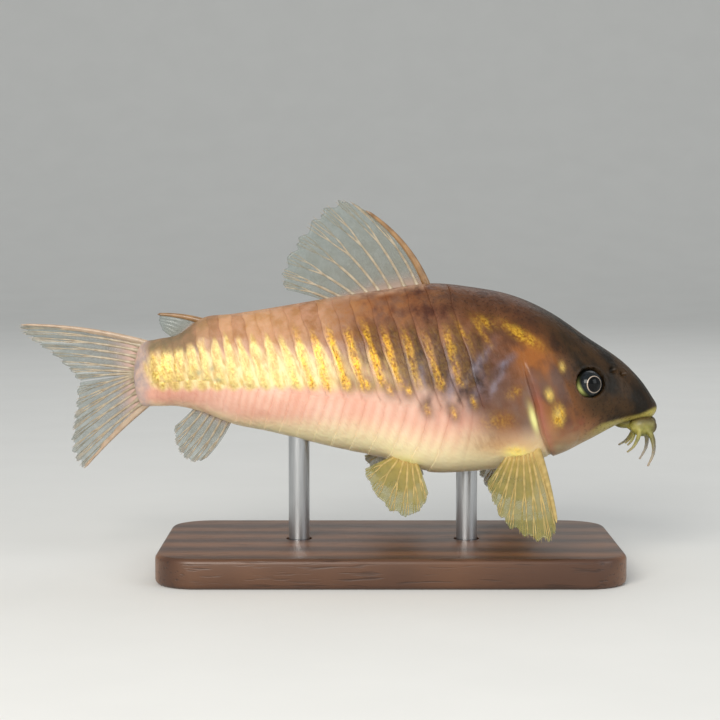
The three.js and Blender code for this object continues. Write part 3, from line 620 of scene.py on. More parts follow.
# %% [markdown]
# ## Flesh, band and back
# Living fish skin is a clear wet layer over pigment cells and a mirror-like layer of guanine. The colour
# is laid on as a painter would, marking by marking, from the flesh up to the darkest pigment. Most masks
# are broken up by a mottle, because pigment cells thin out unevenly towards an edge.
# Single pigment cells are about 0.02 mm, too fine to show, so the finest mottle is drawn at 0.16 mm.

# %% Colours of the body
skin_material, tree, shader = new_material("wet_fish_skin")
mark = {name: node(tree, "Attribute", out="Fac", attribute_name=name) for name in marks}
fine, cloudy, coarse = mottle(tree, 0.16), mottle(tree, 0.6), mottle(tree, 2.4, 2.0)
leaf = mottle(tree, 0.24, 3.0, 0.36, 0.58, 3.5, 0.36)        # flakes drawn out along the plates
blotch = mottle(tree, 1.2, 3.0, 0.4, 0.6, 1.8, 0.3)


def some(name, base=0.0, by=None, share=1.0):
    """A marking's strength: a share of it, or a base and a share that follows a mottle."""
    if by is not None:
        share = node(tree, "Math", {0: by, 1: share, 2: base}, operation="MULTIPLY_ADD")
    return node(tree, "Math", {0: mark[name], 1: share}, operation="MULTIPLY")


# the band's own gold, and a lighter copy of it for its painted highlight
dull, highlight_gold = layered(tree, "#BD9A5C", (leaf, "#E4CE96")), layered(tree, "#DCC27C", (leaf, "#F4E8B0"))
colour = layered(
    tree, "#E3B09A",
    (coarse, "#EDC5AF"),
    (mark["belly"], "#F4E7BA"),
    (some("muscle", share=0.3), "#D48C74"),
    (some("back", 0.75, cloudy, 0.25), (mark["tint"], "#9A6C48", "#B88A5E")),
    (some("stem", 0.65, cloudy, 0.35), "#766953"),
    (some("rosy", 0.4, cloudy, 0.3), "#C58674"),
    # the gold band, lighter where its painted highlight lies
    (some("band", 0.85, cloudy, 0.15), (mark["painted_band_highlight"], dull, highlight_gold)),
    (some("end", share=0.9), (cloudy, "#938A90", "#C9AC9C")),
    (some("dusk", 0.3, coarse, 0.4), (leaf, "#96704A", "#B5946C")),
    (some("armpit", 0.3, coarse, 0.4), "#BE7F48"),
)
print("skin material so far:", len(tree.nodes), "nodes")

# %% [markdown]
# ## Front plates and head
# The brown ground goes on first, then the dark skin between the gold bars, the ink and the blue-grey
# streaks, and then the head, from its warm cheek to the nearly black crown. Pale skin and the plates'
# darker edges lie on top, because they cut through every band. Painted highlights come last: pale
# glints at the pectoral fin's root and on the head, a flat colour that stands for shine.

# %% Colours of the front and the head
colour = layered(
    tree, colour,
    (some("saddle", 0.72, blotch, 0.28), (cloudy, "#5A3222", "#8A5530")),
    (some("ochre", 0.35, leaf, 0.45), (leaf, "#A8844C", "#CDB078")),
    (some("shoulder", 0.85, blotch, 0.15), (blotch, "#452A1A", "#7C4F2F")),
    (some("nape", 0.6, coarse, 0.4), (blotch, "#5A331A", "#925826")),
    (some("crown", 0.85, cloudy, 0.15), (cloudy, "#38241A", "#573722")),
    (some("violet", 0.38, blotch, 0.6), (cloudy, "#281B1C", "#5F4B49")),
    (some("dark", 0.4, cloudy, 0.5), (blotch, "#271712", "#5A3C24")),
    (some("ink", 0.35, cloudy, 0.5), "#1E1719"),
    (some("streaks", 0.2, cloudy, 0.5), "#8A8290"),
    (some("halo", share=0.9), "#40261D"),
    (some("fin_foot", 0.25, cloudy, 0.6), "#BE9C84"),
    (some("cheek", 0.55, coarse, 0.4), (blotch, "#4C2A1A", "#86542F")),
    (mark["head"], (blotch, "#1A140B", "#3C2A17")),
    (some("jowl", 0.2, coarse, 0.6), "#B5835A"),
    (some("blush", 0.0, cloudy, 0.6), "#7C4230"),
    (mark["under"], "#B58F5C"),
    (mark["mouth"], "#AEA055"),
    (some("edge", share=0.3), "#6E4232"),
    (some("slit", 0.15, coarse, 0.4), "#A8625A"),
    (mark["pale"], "#DCD88E"),
    # painted glints, a pale flat colour that stands for shine
    (some("painted_glint", 0.5, leaf, 0.5), "#FFEB8C"),
)
print("skin material so far:", len(tree.nodes), "nodes")

# %% [markdown]
# ## Flakes of guanine and wet shine
# The gold is guanine, tiny crystals that shine like metal, so it is partly metallic and broken into
# flakes. A fully metallic bar would look like jewellery. A thin clear coat over everything gives the wet
# shine, less of it on the dry-looking head and crown, and a little light passes into the flesh.

# %% Flakes and shine
def flaked(colour, guanine, dark, light):
    """Lays flakes of guanine over a colour, and gives how much of it shines like metal."""
    broken = node(tree, "Math", {0: leaf, 1: 0.65, 2: 0.35}, operation="MULTIPLY_ADD")
    broken = node(tree, "Math", {0: guanine, 1: broken}, operation="MULTIPLY", use_clamp=True)
    return layered(tree, colour, (broken, (fine, dark, light))), broken


def strongest(*masks):
    """At each point the highest of several masks."""
    highest = masks[0]
    for other in masks[1:]:
        highest = node(tree, "Math", {0: highest, 1: other}, operation="MAXIMUM")
    return highest


colour, pale_flakes = flaked(colour, mark["gleam"], "#AF8C3A", "#E5CC74")
colour = layered(tree, colour, (some("smudge", 0.2, leaf, 0.5), "#8F9274"))
gold = strongest(mark["flecks"], mark["dots"], mark["gold"], some("dark", share=0.12))
colour, gold_flakes = flaked(colour, gold, "#94621A", "#E3B23C")
metal = node(tree, "Math", {0: pale_flakes, 1: 0.35}, operation="MULTIPLY")
metal = node(tree, "Math", {0: gold_flakes, 1: 0.6, 2: metal}, operation="MULTIPLY_ADD", use_clamp=True)
pigment_cells = node(tree, "Math", {0: fine, 1: 0.82}, operation="GREATER_THAN")
shaded = node(tree, "Math", {0: strongest(mark["head"], mark["crown"]), 1: 0.45}, operation="MULTIPLY")
specks = node(tree, "Math", {0: pigment_cells, 1: shaded}, operation="MULTIPLY")
rough = node(tree, "MapRange", {"Value": fine, "To Min": 0.34, "To Max": 0.5})
grain = node(tree, "Math", {0: fine, 1: 0.4, 2: cloudy}, operation="MULTIPLY_ADD")
grain = node(tree, "Math", {0: grain, 1: leaf}, operation="ADD")
dry = strongest(mark["edge"], some("head", share=0.75), some("crown", share=0.7))
wet = node(tree, "Math", {0: 1.0, 1: dry}, operation="SUBTRACT", use_clamp=True)
fill(tree, shader, {
    "Base Color": layered(tree, colour, (specks, "#20150D")),
    "Metallic": metal,
    "Roughness": node(tree, "Math", {0: rough, 1: some("edge", share=0.3)}, operation="ADD"),
    "Normal": node(tree, "Bump", {"Strength": 0.6, "Distance": 0.04 * MM, "Height": grain}),
    "Coat Weight": node(tree, "Math", {0: wet, 1: 0.22}, operation="MULTIPLY"),
    "Coat Roughness": 0.16,
    "Specular IOR Level": 0.15,
    "Subsurface Weight": 0.12,
    "Subsurface Radius": (1.0, 0.5, 0.3),
    "Subsurface Scale": 0.5 * MM,
})
fish_skin.data.materials.clear()
fish_skin.data.materials.append(skin_material)
print("skin material:", len(tree.nodes), "nodes")

# %% [markdown]
# ## A wet eye
# A fish's eye is a wet ball without lids. The iris is dark blue-grey with a thin ring of pale gold round
# the black pupil and a green-gold crescent at its lower rear. A ramp of colours draws the rings by each
# point's distance from the eye's own axis, so they stay round from every side, and a clear coat stands
# for the cornea.

# %% Eye material
IRIS_RINGS = [(0.0, "#020303"), (0.495, "#030405"), (0.52, "#A8978A"), (0.545, "#C9B9A6"), (0.575, "#101315"),
              (0.70, "#161B1E"), (0.84, "#0C0E10"), (1.0, "#070706")]
eye_material, tree, shader = new_material("wet_eye")
rings_out = node(tree, "ValToRGB", {"Fac": node(tree, "Attribute", out="Fac", attribute_name="off_axis")})
ramp = rings_out.node.color_ramp.elements
while len(ramp) < len(IRIS_RINGS):
    ramp.new(0.5)
for stop, (at, code) in zip(ramp, IRIS_RINGS):
    stop.position, stop.color = at, shade(code)
on_iris = node(tree, "Attribute", out="Fac", attribute_name="iris")
grey_blue = node(tree, "Math", {0: mottle(tree, 0.2), 1: on_iris}, operation="MULTIPLY")
crescent = node(tree, "Attribute", out="Fac", attribute_name="crescent")
fill(tree, shader, {
    "Base Color": layered(tree, rings_out, (grey_blue, "#28313A"), (crescent, "#AFB56C")),
    "Roughness": 0.3,
    "Specular IOR Level": 0.05,
    "Coat Weight": 0.4,
    "Coat Roughness": 0.02,
})
print("eye material:", len(IRIS_RINGS), "rings of colour")

# %% [markdown]
# ## Eyeballs
# Each ball sits sunk in its socket, facing as the skin does there, and bulges a little at its cornea. A
# sphere is the right start for it. What makes it an eye is the bulge and the three masks stored on it.

# %% Eyeballs
LENS_AT = (0.14, 0.0, -0.3)        # the pupil looks a little forwards and down
CRESCENT_AT, CRESCENT_WIDTH = 3.65, 0.62      # its place round the eye and half its length, in radians


def seat_on(x, z, side):
    t = station_of(x)
    angle = angle_at(t, z)
    return skin(t, angle, side), facing(t, angle, side)


for word, side in (("left", LEFT), ("right", RIGHT)):
    on_skin, normal = seat_on(EYE_X, EYE_Z, side)
    centre = on_skin - normal * EYE_SUNK
    deselect()
    bpy.ops.mesh.primitive_uv_sphere_add(segments=48, ring_count=32, radius=EYE_RADIUS * MM)
    ball = bpy.context.object
    ball.name = ball.data.name = f"eyeball_{word}"
    turn = Vector((0, 0, 1)).rotation_difference(Vector(normal))
    spots = np.array([turn @ (v.co / MM) for v in ball.data.vertices])
    depth = spots @ normal
    outer = depth > 0
    across = spots - depth[:, None] * normal
    off = np.linalg.norm(across, axis=1)
    off_lens = np.linalg.norm(across - np.array(LENS_AT), axis=1)
    around = np.arctan2(spots[:, 2], spots[:, 0]) % (2 * math.pi)
    store(ball, "off_axis", np.where(outer, off_lens / EYE_RADIUS, 1.0))
    store(ball, "iris", window(off, 1.0, 1.4, 0.06) * 0.4)
    store(ball, "crescent", window(off, 1.44, 1.8, 0.05) * ridge(around, CRESCENT_AT, CRESCENT_WIDTH) * outer)
    cornea = 1 + 0.06 * ridge(off, 0, 0.9) * outer
    place_points(ball, spots * cornea[:, None] + centre)
    only(ball)
    bpy.ops.object.shade_smooth()
    ball.data.materials.append(eye_material)
    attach(ball, "root")
    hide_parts(f"eye_{word}")
    print(word, "eye at", np.round(centre, 1))

# %% [markdown]
# ## Tapered tubes
# Feelers, lips and fin rays are all tapered tubes along a smooth line. A curve with a round bevel and a
# radius at each point makes them, and is then turned into a mesh. A stack of scaled cylinders would show
# its joints.

# %% Tubes along curves
def smooth_line(points, steps):
    """Points on one smooth curve through the given ones."""
    points = np.asarray(points, float)
    padded = np.vstack([2 * points[0] - points[1], points, 2 * points[-1] - points[-2]])
    at = np.linspace(0, len(points) - 1, steps)
    i = np.minimum(at.astype(int), len(points) - 2)
    return curve_through(padded[i], padded[i + 1], padded[i + 2], padded[i + 3], (at - i)[:, None])


def tubes(name, lines, sides=2):
    """One mesh of many tubes. Each line is a pair: its points and the radius at each, in millimetres."""
    curve = bpy.data.curves.new(name, "CURVE")
    curve.dimensions = "3D"
    curve.bevel_depth = MM
    curve.bevel_resolution = sides
    curve.use_fill_caps = True
    for points, radii in lines:
        spline = curve.splines.new("POLY")
        spline.points.add(len(points) - 1)
        for point, place, radius in zip(spline.points, points, radii):
            point.co = (*(np.asarray(place) * MM), 1)
            point.radius = radius
    piece = bpy.data.objects.new(name, curve)
    bpy.context.scene.collection.objects.link(piece)
    only(piece)
    bpy.ops.object.convert(target="MESH")
    piece = bpy.context.object
    bpy.ops.object.shade_smooth()
    return piece


print("a tube's radius of 1 is", MM, "m")

# %% [markdown]
# ## Mouth and feelers
# The mouth opens downwards behind a rolled upper lip, with a soft lobe and two feelers at each corner
# and two short ones under the chin. Tubes give each form its own line. They grow into one another in the
# next step, at a fine voxel, which melts the joints as flesh does.

# %% Lips and feelers
FEELERS = {
    "outer": [(30.4, 2.2, 16.9), (31.0, 2.6, 15.6), (31.0, 3.1, 14.1), (30.3, 3.5, 12.6)],
    "inner": [(29.6, 2.2, 17.0), (29.2, 2.8, 15.8), (28.6, 3.4, 14.9), (27.8, 3.9, 14.3)],
    "chin": [(29.2, 0.6, 17.0), (29.0, 0.8, 16.0), (28.7, 0.95, 15.3), (28.2, 1.05, 14.8)],
}
FEELER_ROOT, FEELER_TIP = {"outer": 0.3, "inner": 0.2, "chin": 0.15}, 0.13
UPPER_LIP = [(29.4, -2.0, 17.5), (30.7, -1.5, 17.2), (31.1, 0, 17.6), (30.7, 1.5, 17.2), (29.4, 2.0, 17.5)]
LOWER_LIP = [(28.3, -1.35, 17.3), (29.35, -0.9, 16.9), (29.6, 0, 16.9), (29.35, 0.9, 16.9),
             (28.3, 1.35, 17.3)]
CORNER_LOBE, CHIN_LOBE = (1.6, 0.95, 1.2), (1.5, 1.35, 0.85)
LOBES = [((30.0, 1.7, 17.15), CORNER_LOBE), ((30.0, -1.7, 17.15), CORNER_LOBE), ((28.0, 0, 17.6), CHIN_LOBE)]
lines = []
for side in (LEFT, RIGHT):
    for name, points in FEELERS.items():
        path = smooth_line([(a, b * side, c) for a, b, c in points], 30)
        run = np.linspace(0, 1, 30)
        ringed = 0.01 * np.sin(run * 40)
        lines.append((path, FEELER_ROOT[name] * (1 - run) ** 1.3 + FEELER_TIP + ringed))
lines.append((smooth_line(UPPER_LIP, 40), np.full(40, 0.6)))
lines.append((smooth_line(LOWER_LIP, 40), np.full(40, 0.5)))
mouth = tubes("mouth_and_feelers", lines, 4)
print("mouth:", len(lines), "tubes")

# %% [markdown]
# ## Melt the mouth into one
# The lobes are stretched spheres set into the lips' corners and under the chin. The remesh turns tubes
# and lobes into one closed skin, and a few rounds of smoothing take away the voxels' steps.

# %% Join, remesh and smooth
for centre, radii in LOBES:
    deselect()
    bpy.ops.mesh.primitive_uv_sphere_add(segments=32, ring_count=20, radius=MM)
    lobe = bpy.context.object
    lobe.scale = radii
    lobe.location = Vector(centre) * MM
    bpy.ops.object.transform_apply(location=True, rotation=True, scale=True)
    mouth.select_set(True)
    bpy.context.view_layer.objects.active = mouth
    bpy.ops.object.join()
only(mouth)
melt = mouth.modifiers.new("melt", "REMESH")
melt.mode, melt.voxel_size, melt.use_smooth_shade = "VOXEL", 0.075 * MM, True
bpy.ops.object.modifier_apply(modifier="melt")
soften = mouth.modifiers.new("soften", "SMOOTH")
soften.factor, soften.iterations = 0.5, 4
bpy.ops.object.modifier_apply(modifier="soften")
bpy.ops.object.shade_smooth()
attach(mouth, "root")
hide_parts("lower_lip", *[f"barbel_{name}_{word}" for name in FEELERS for word in ("left", "right")])
print("mouth:", len(mouth.data.polygons), "faces")

# %% [markdown]
# ## Soft lip skin
# The lips are soft, wet skin of a dull olive yellow, which turns brown where it meets the dark snout. The
# feelers thin out and let the light through towards their tips, so their opacity falls with height.
# Height alone drives all three changes, because the mouth hangs straight down.

# %% Lip material
lip_material, tree, shader = new_material("soft_lip_skin")
spot = node(tree, "SeparateXYZ", {"Vector": node(tree, "TexCoord", out="Object")}).node.outputs
brown = node(tree, "MapRange", {"Value": spot["Z"], "From Min": 16.9 * MM, "From Max": 18.2 * MM},
             interpolation_type="SMOOTHSTEP")
snout = node(tree, "MapRange", {"Value": spot["X"], "From Min": 30.6 * MM, "From Max": 31.5 * MM},
             interpolation_type="SMOOTHSTEP")
tips = node(tree, "MapRange", {"Value": spot["Z"], "From Min": 15.6 * MM, "From Max": 13.4 * MM})
thin = node(tree, "MapRange", {"Value": spot["Z"], "From Min": 16.7 * MM, "From Max": 13.8 * MM,
                               "To Min": 1.0, "To Max": 0.42})
fill(tree, shader, {
    "Base Color": layered(tree, "#77732F", (mottle(tree, 0.5), "#A39C52"), (tips, "#96793A"),
                          (strongest(brown, snout), "#4E401F")),
    "Alpha": thin,
    "Roughness": 0.5,
    "Normal": node(tree, "Bump", {"Strength": 0.6, "Distance": 0.03 * MM, "Height": mottle(tree, 0.12)}),
    "Coat Weight": 0.14,
    "Coat Roughness": 0.2,
    "Subsurface Weight": 0.3,
    "Subsurface Radius": (1.0, 0.6, 0.3),
    "Subsurface Scale": 0.5 * MM,
})
mouth.data.materials.clear()
mouth.data.materials.append(lip_material)
print("lip material:", len(tree.nodes), "nodes")

# %% [markdown]
# ## How a fin is built
# A fin is a fan: a root line on the body, a tip line, and rays between them that bow a little. The root
# line comes first. It lies 0.35 mm under the skin, where the real fin grows out of the flesh, so no gap
# can open between them.

# %% Root lines
ROOT_DEPTH, ROOT_STEPS = 0.35, 60


def root_midline(front, rear, above):
    """A root along the back or the belly."""
    t = station_of(np.linspace(front, rear, ROOT_STEPS))
    up = 1 if above else -1
    return skin(t, np.full(ROOT_STEPS, QUARTER * up), LEFT) - np.array([0, 0, ROOT_DEPTH * up])


def root_flank(front, rear, side):
    """A root on one flank, from one place and height to another."""
    t = station_of(np.linspace(front[0], rear[0], ROOT_STEPS))
    angle = angle_at(t, np.linspace(front[1], rear[1], ROOT_STEPS))
    return skin(t, angle, side) - ROOT_DEPTH * facing(t, angle, np.full(ROOT_STEPS, side))


def root_tail(first, last):
    """A root round the end of the tail stem: 0 is its top, 1 its underside."""
    c = np.linspace(first, last, ROOT_STEPS)
    share = np.where(c < 0.5, c * 2, (1 - c) * 2)
    t = mix(station_of(-28.7), LAST, np.sin(share * QUARTER))
    points = skin(t, np.where(c < 0.5, QUARTER, -QUARTER), LEFT)
    return points + (np.array([-29.2, 0, 23.2]) - points) * np.array([0.12, 0, 0.08])


def with_swing(points):
    """Places and heights on the fish's middle, with how far each stands off it where that is given."""
    return [(p[0], float(swing(p[0])) + (p[2] if len(p) > 2 else 0), p[1]) for p in points]


print("a root line has", ROOT_STEPS, "points,", ROOT_DEPTH, "mm under the skin")

# %% [markdown]
# ## The sheet of a fin
# The fan spans from the root line to the tip line. Between them its rays bow, most in the middle, which
# is a curve with one control point. The rays stand at even steps with a little chance in each, drawn
# from the fin's own seed, so that every run gives the same fin.

# %% The fan
RAY_WOBBLE = 0.08                   # how uneven the rays stand, as a share of their spacing


class Fan:
    """The sheet of one fin, with its rays. A fin with a spine keeps its first strip free for it."""

    def __init__(self, root, tips, bow_from, bow_to, rays, spine, seed):
        self.root = np.asarray(root)
        self.tips = smooth_line(tips, ROOT_STEPS)
        self.bows = np.linspace(bow_from, bow_to, ROOT_STEPS)
        self.draw = np.random.default_rng(seed)
        first = 0.045 if spine else 0.0
        self.pitch = (1 - first) / rays
        wobble = RAY_WOBBLE * self.draw.uniform(-1, 1, rays)
        self.rays = first + (np.arange(rays) + 0.55 + wobble) * self.pitch

    def at(self, c, r):
        """The point at c across the fan and r out along it, both from 0 to 1."""
        c, r = np.broadcast_arrays(np.asarray(c, float), np.asarray(r, float))
        steps = np.arange(ROOT_STEPS)
        root, tip, bow = (np.stack([np.interp(c * steps[-1], steps, line[:, k]) for k in range(3)], -1)
                          for line in (self.root, self.tips, self.bows))
        r = r[..., None]
        return root * (1 - r) ** 2 + (0.5 * (root + tip) + bow) * 2 * r * (1 - r) + tip * r * r


print("rays stand up to", round(100 * RAY_WOBBLE), "% of their spacing off their even places")

# %% [markdown]
# ## Membranes
# The membrane is a fine grid laid on the fan, 0.1 mm thick. It sinks in a little between the rays, its
# rim is scalloped and frayed there, and it is pleated more towards the tips, as a folding fin is. Cloth
# simulation could do it too, but formulas keep the rays and the film together.

# %% Membranes
FILM_THICKNESS = 0.1


def membrane(name, fan, columns=150, rows=34):
    """The fan's film. Its reach from root to rim is stored for the material."""
    net, column, row = grid_net(name, columns, rows)
    c, r = column / columns, row / rows
    from_ray = np.min(np.abs(c[:, None] - fan.rays[None, :]), axis=1) / fan.pitch
    dip = np.clip(from_ray * 2, 0, 1)
    fray = 0.012 * np.sin(c * 83 + 2 * np.sin(c * 31))
    reach = 1 - 0.045 * dip + fray - 0.02
    step = 0.01
    across = fan.at(np.minimum(c + step, 1), r) - fan.at(np.maximum(c - step, 0), r)
    along = fan.at(c, r + step) - fan.at(c, r - step)
    normal = np.cross(across, along)
    normal /= np.maximum(np.linalg.norm(normal, axis=1, keepdims=True), 1e-9)
    pleat = 0.07 * np.sin(c * 37 + 3 * r) * r**2 - 0.05 * dip * r
    place_points(net, fan.at(c, r * reach) + normal * pleat[:, None])
    store(net, "reach", r)
    only(net)
    thick = net.modifiers.new("thick", "SOLIDIFY")
    thick.thickness, thick.offset = FILM_THICKNESS * MM, 0
    bpy.ops.object.modifier_apply(modifier="thick")
    bpy.ops.object.shade_smooth()
    return net


print("a membrane is", FILM_THICKNESS, "mm thick")

# %% [markdown]
# ## Rays and spines
# A soft ray is a string of tiny bones that forks twice on its way out and thins with each fork. Its four
# branches are drawn as four tapered tubes that start as one, so each fork opens without a seam. The
# first ray of the dorsal and pectoral fins is a stiff spine. The tail fin has short stiff rays packed
# along its outer edges instead.

# %% Rays, spines and packed rays
FORKS = (0.42, 0.7)                           # where a ray forks, from root to rim
PACKED = ((0.0, 0.33, 0.985), (0.028, 0.3, 0.7), (0.054, 0.27, 0.48))     # step inwards, radius, reach


def ray_lines(fan, thick=0.2, steps=26):
    """Each ray's four branches: centre lines and radii."""
    lines = []
    for c0 in fan.rays:
        reach = 0.99 + 0.015 * fan.draw.uniform(-1, 1)
        first = FORKS[0] + 0.05 * fan.draw.uniform(-1, 1)
        second = FORKS[1] + 0.05 * fan.draw.uniform(-1, 1)
        for one in (-1, 1):
            for two in (-1, 1):
                start = 0 if one == two == -1 else (first if two == -1 else second) - 0.02
                r = np.linspace(start, reach - 0.012 * (two > 0), steps)
                wide_fork = 0.19 * one * ease(r, first, first + 0.25) * (0.6 + 0.4 * r)
                small_fork = 0.09 * two * ease(r, second, second + 0.2)
                c = c0 + fan.pitch * (wide_fork + small_fork)
                taper = (1 - 0.55 * r) * np.where(r > first, 0.75, 1) * np.where(r > second, 0.72, 1)
                joints = 1 + 0.07 * np.sin(r * 150)
                tip = 1 - 0.75 * ease(r, reach - 0.07, reach)
                foot = 1 + 0.9 * ridge(r, 0, 0.05)
                lines.append((fan.at(np.clip(c, 0.001, 0.999), r), thick * taper * joints * tip * foot))
    return lines


def spine_line(fan, thick, reach=0.985, at=0.014):
    """A stiff ray that doesn't fork, at a place across the fan."""
    r = np.linspace(0, reach, 40)
    radius = thick * (1 - 0.62 * r) * (1 - 0.8 * ease(r, reach - 0.05, reach))
    return (fan.at(np.full(40, at), r), radius)


def edge_lines(fan, at, inwards):
    """Stiff rays packed along one edge of a tail lobe, each shorter than the last."""
    return [spine_line(fan, thick, reach, at + inwards * step) for step, thick, reach in PACKED]


print("a ray forks at", FORKS, "of its length")

# %% [markdown]
# ## Fin membrane
# A fin's membrane is skin with hardly any pigment: flesh-coloured at its root, then nearly clear, grey on
# the back and anal fins, pinkish on the tail and straw yellow on the paired fins. It is drawn by opacity
# and not by refraction, because a film this thin hardly bends the light. The thin wet coat gives it a
# soft gleam.

# %% Membrane materials
def membrane_material(name, flesh_code, root_code, outer_code, clear, dense, flesh_to=0.2):
    """A film that is dense at its root and clear at its rim. The flesh ends at flesh_to of its reach."""
    material, tree, shader = new_material(name)
    reach = node(tree, "Attribute", out="Fac", attribute_name="reach")
    cloud = mottle(tree, 0.9)
    pigment = node(tree, "Math", {0: cloud, 1: 0.35}, operation="MULTIPLY")
    flesh = node(tree, "MapRange", {"Value": reach, "From Min": flesh_to, "From Max": 0.02},
                 interpolation_type="SMOOTHSTEP")
    film = node(tree, "MapRange", {"Value": reach, "To Min": dense, "To Max": clear})
    uneven = node(tree, "Math", {0: cloud, 1: 0.4, 2: 0.8}, operation="MULTIPLY_ADD")
    film = node(tree, "Math", {0: film, 1: uneven}, operation="MULTIPLY", use_clamp=True)
    colour = layered(tree, root_code, (reach, outer_code), (pigment, root_code), (flesh, flesh_code))
    fill(tree, shader, {
        "Base Color": colour,
        "Alpha": node(tree, "Math", {0: film, 1: flesh}, operation="MAXIMUM"),
        "Roughness": 0.3,
        "Coat Weight": 0.2,
        "Coat Roughness": 0.1,
    })
    return material


CLEAR_FILM, STRAW_FILM = (0.34, 0.54), (0.5, 0.8)       # opacity at the rim and at the root
grey_membrane = membrane_material("clear_grey_fin_membrane", "#A48E80", "#7E7D70", "#78867F", *CLEAR_FILM)
tail_membrane = membrane_material("clear_pinkish_tail_membrane", "#C3A294", "#84807A", "#78867F",
                                  *CLEAR_FILM, flesh_to=0.36)
straw_membrane = membrane_material("straw_yellow_fin_membrane", "#D9B27A", "#B09A54", "#84864C", *STRAW_FILM)
print("the clear rim lets", round(100 * (1 - CLEAR_FILM[0])), "% of the light through")

# %% [markdown]
# ## Rays and spines, their bone
# The rays are bone in skin: horn tan in the middle fins, peach along the tail's edges, amber in the
# paired fins and coppery brown in the big spines. Bone is matt, and the skin over it is wet, so a rough
# base has a thin coat. The joints in a ray are about 0.4 mm apart and a shade darker.

# %% Ray materials
def ray_material(name, code, joint_code, joint_mm):
    material, tree, shader = new_material(name)
    fill(tree, shader, {
        "Base Color": layered(tree, code, (mottle(tree, joint_mm, 1.0), joint_code)),
        "Roughness": 0.38,
        "Normal": node(tree, "Bump", {"Strength": 0.6, "Distance": 0.02 * MM, "Height": mottle(tree, 0.2)}),
        "Coat Weight": 0.25,
        "Coat Roughness": 0.12,
        "Subsurface Weight": 0.15,
        "Subsurface Radius": (1.0, 0.6, 0.35),
        "Subsurface Scale": 0.3 * MM,
    })
    return material


tan_rays = ray_material("horn_tan_fin_rays", "#B3A58E", "#9A8A72", 0.4)
tail_edge = ray_material("peach_tail_edge_rays", "#B9A189", "#A89078", 0.5)
amber_rays = ray_material("amber_fin_rays", "#C3AB70", "#A89258", 0.4)
spine_bone = ray_material("coppery_spine_bone", "#9C7850", "#7A5A38", 0.7)
print("materials so far:", len(bpy.data.materials))

# %% [markdown]
# ## Fins on the middle line
# The dorsal fin stands open like a sail behind its spine. The anal fin is small and soft. The adipose
# fin is only a short spine with a flap behind it. Each fin's tips are listed from front to rear, as
# place and height, and its bow says how far its first and its last ray arch.

# %% Dorsal, anal and adipose fin
def finished(piece, material, *nodes, slot="fin"):
    piece.data.materials.clear()
    piece.data.materials.append(material)
    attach(piece, "root")
    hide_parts(*nodes)
    return piece


def make_fin(node_name, fan, film, bone, thick, spine_thick=0.0, spine_skin=None):
    finished(membrane(f"{node_name}_membrane", fan), film, node_name)
    finished(tubes(f"{node_name}_rays", ray_lines(fan, thick), 1), bone, node_name)
    if spine_thick:
        spine = tubes(f"{node_name}_spine", [spine_line(fan, spine_thick)], 3)
        finished(spine, spine_skin or spine_bone, node_name)
    print(node_name, "with", len(fan.rays), "rays")


dorsal = Fan(root_midline(4.6, -7.6, True),
             with_swing([(-2.8, 42.6), (-5.8, 44.0), (-8.6, 42.4), (-11.2, 39.1), (-12.85, 35.6),
                         (-12.6, 33.3)]),
             (1.52, 0, 1.14), (0.24, 0, 0.18), 8, True, 3)
make_fin("dorsal_fin", dorsal, grey_membrane, tan_rays, 0.2, 0.5)
anal = Fan(root_midline(-18.8, -23.2, False),
           with_swing([(-22.1, 12.9), (-23.6, 12.5), (-24.9, 13.3), (-25.7, 14.9), (-25.8, 16.8)]),
           (0.49, 0, -0.35), (0.07, 0, -0.05), 6, False, 11)
make_fin("anal_fin", anal, grey_membrane, tan_rays, 0.17)
adipose = Fan(root_midline(-22.3, -25.7, True),
              with_swing([(-27.75, 30.3), (-27.55, 29.4), (-27.1, 28.4)]),
              (0.14, 0, 0.4), (0, 0, 0), 1, True, 5)
finished(membrane("adipose_fin_membrane", adipose, 40, 20), grey_membrane, "adipose_fin")
finished(tubes("adipose_fin_spine", [spine_line(adipose, 0.42)], 3), spine_bone, "adipose_fin")

# %% [markdown]
# ## Tail fin
# The tail fin is forked, and its two lobes lean a little to opposite sides, as they do when the fish
# swims. The upper lobe reaches further than the lower one. Both grow from one root line round the end of
# the tail stem, each from its own half.

# %% Tail fin
TAIL_TWIST = 0.2                   # how far a lobe leans, for each millimetre above the middle


def twisted(points):
    return with_swing([(x, z, -TAIL_TWIST * (z - 23) * min((TAIL_ROOT - x) / 14, 1)) for x, z in points])


upper = Fan(root_tail(0, 0.5),
            twisted([(-44.4, 29.05), (-44.1, 28.0), (-42.3, 26.6), (-40.2, 25.1), (-38.6, 23.6),
                     (-37.5, 22.2)]),
            (0, 0, 1.1), (0, 0, 0.1), 8, False, 13)
make_fin("tail_fin_upper", upper, tail_membrane, tan_rays, 0.2)
lower = Fan(root_tail(0.5, 1),
            twisted([(-37.5, 22.0), (-37.8, 19.3), (-38.2, 17.0), (-38.5, 14.6), (-38.1, 12.5),
                     (-36.9, 11.35)]),
            (-0.04, 0, 0.03), (-0.4, 0, 0.3), 8, False, 17)
make_fin("tail_fin_lower", lower, tail_membrane, tan_rays, 0.2)
finished(tubes("tail_fin_upper_edge", edge_lines(upper, 0.014, 1), 3), tail_edge, "tail_fin_upper")
finished(tubes("tail_fin_lower_edge", edge_lines(lower, 0.986, -1), 3), tail_edge, "tail_fin_lower")

# %% [markdown]
# ## Paired fins
# The paired fins spread sideways and down, like stubby wings. Each is made once for the left side and
# once for the right from the same numbers with the sign of Y turned, so each copy has its own mesh.
# The pectoral fin's spine is thick, because the fish props itself on it.

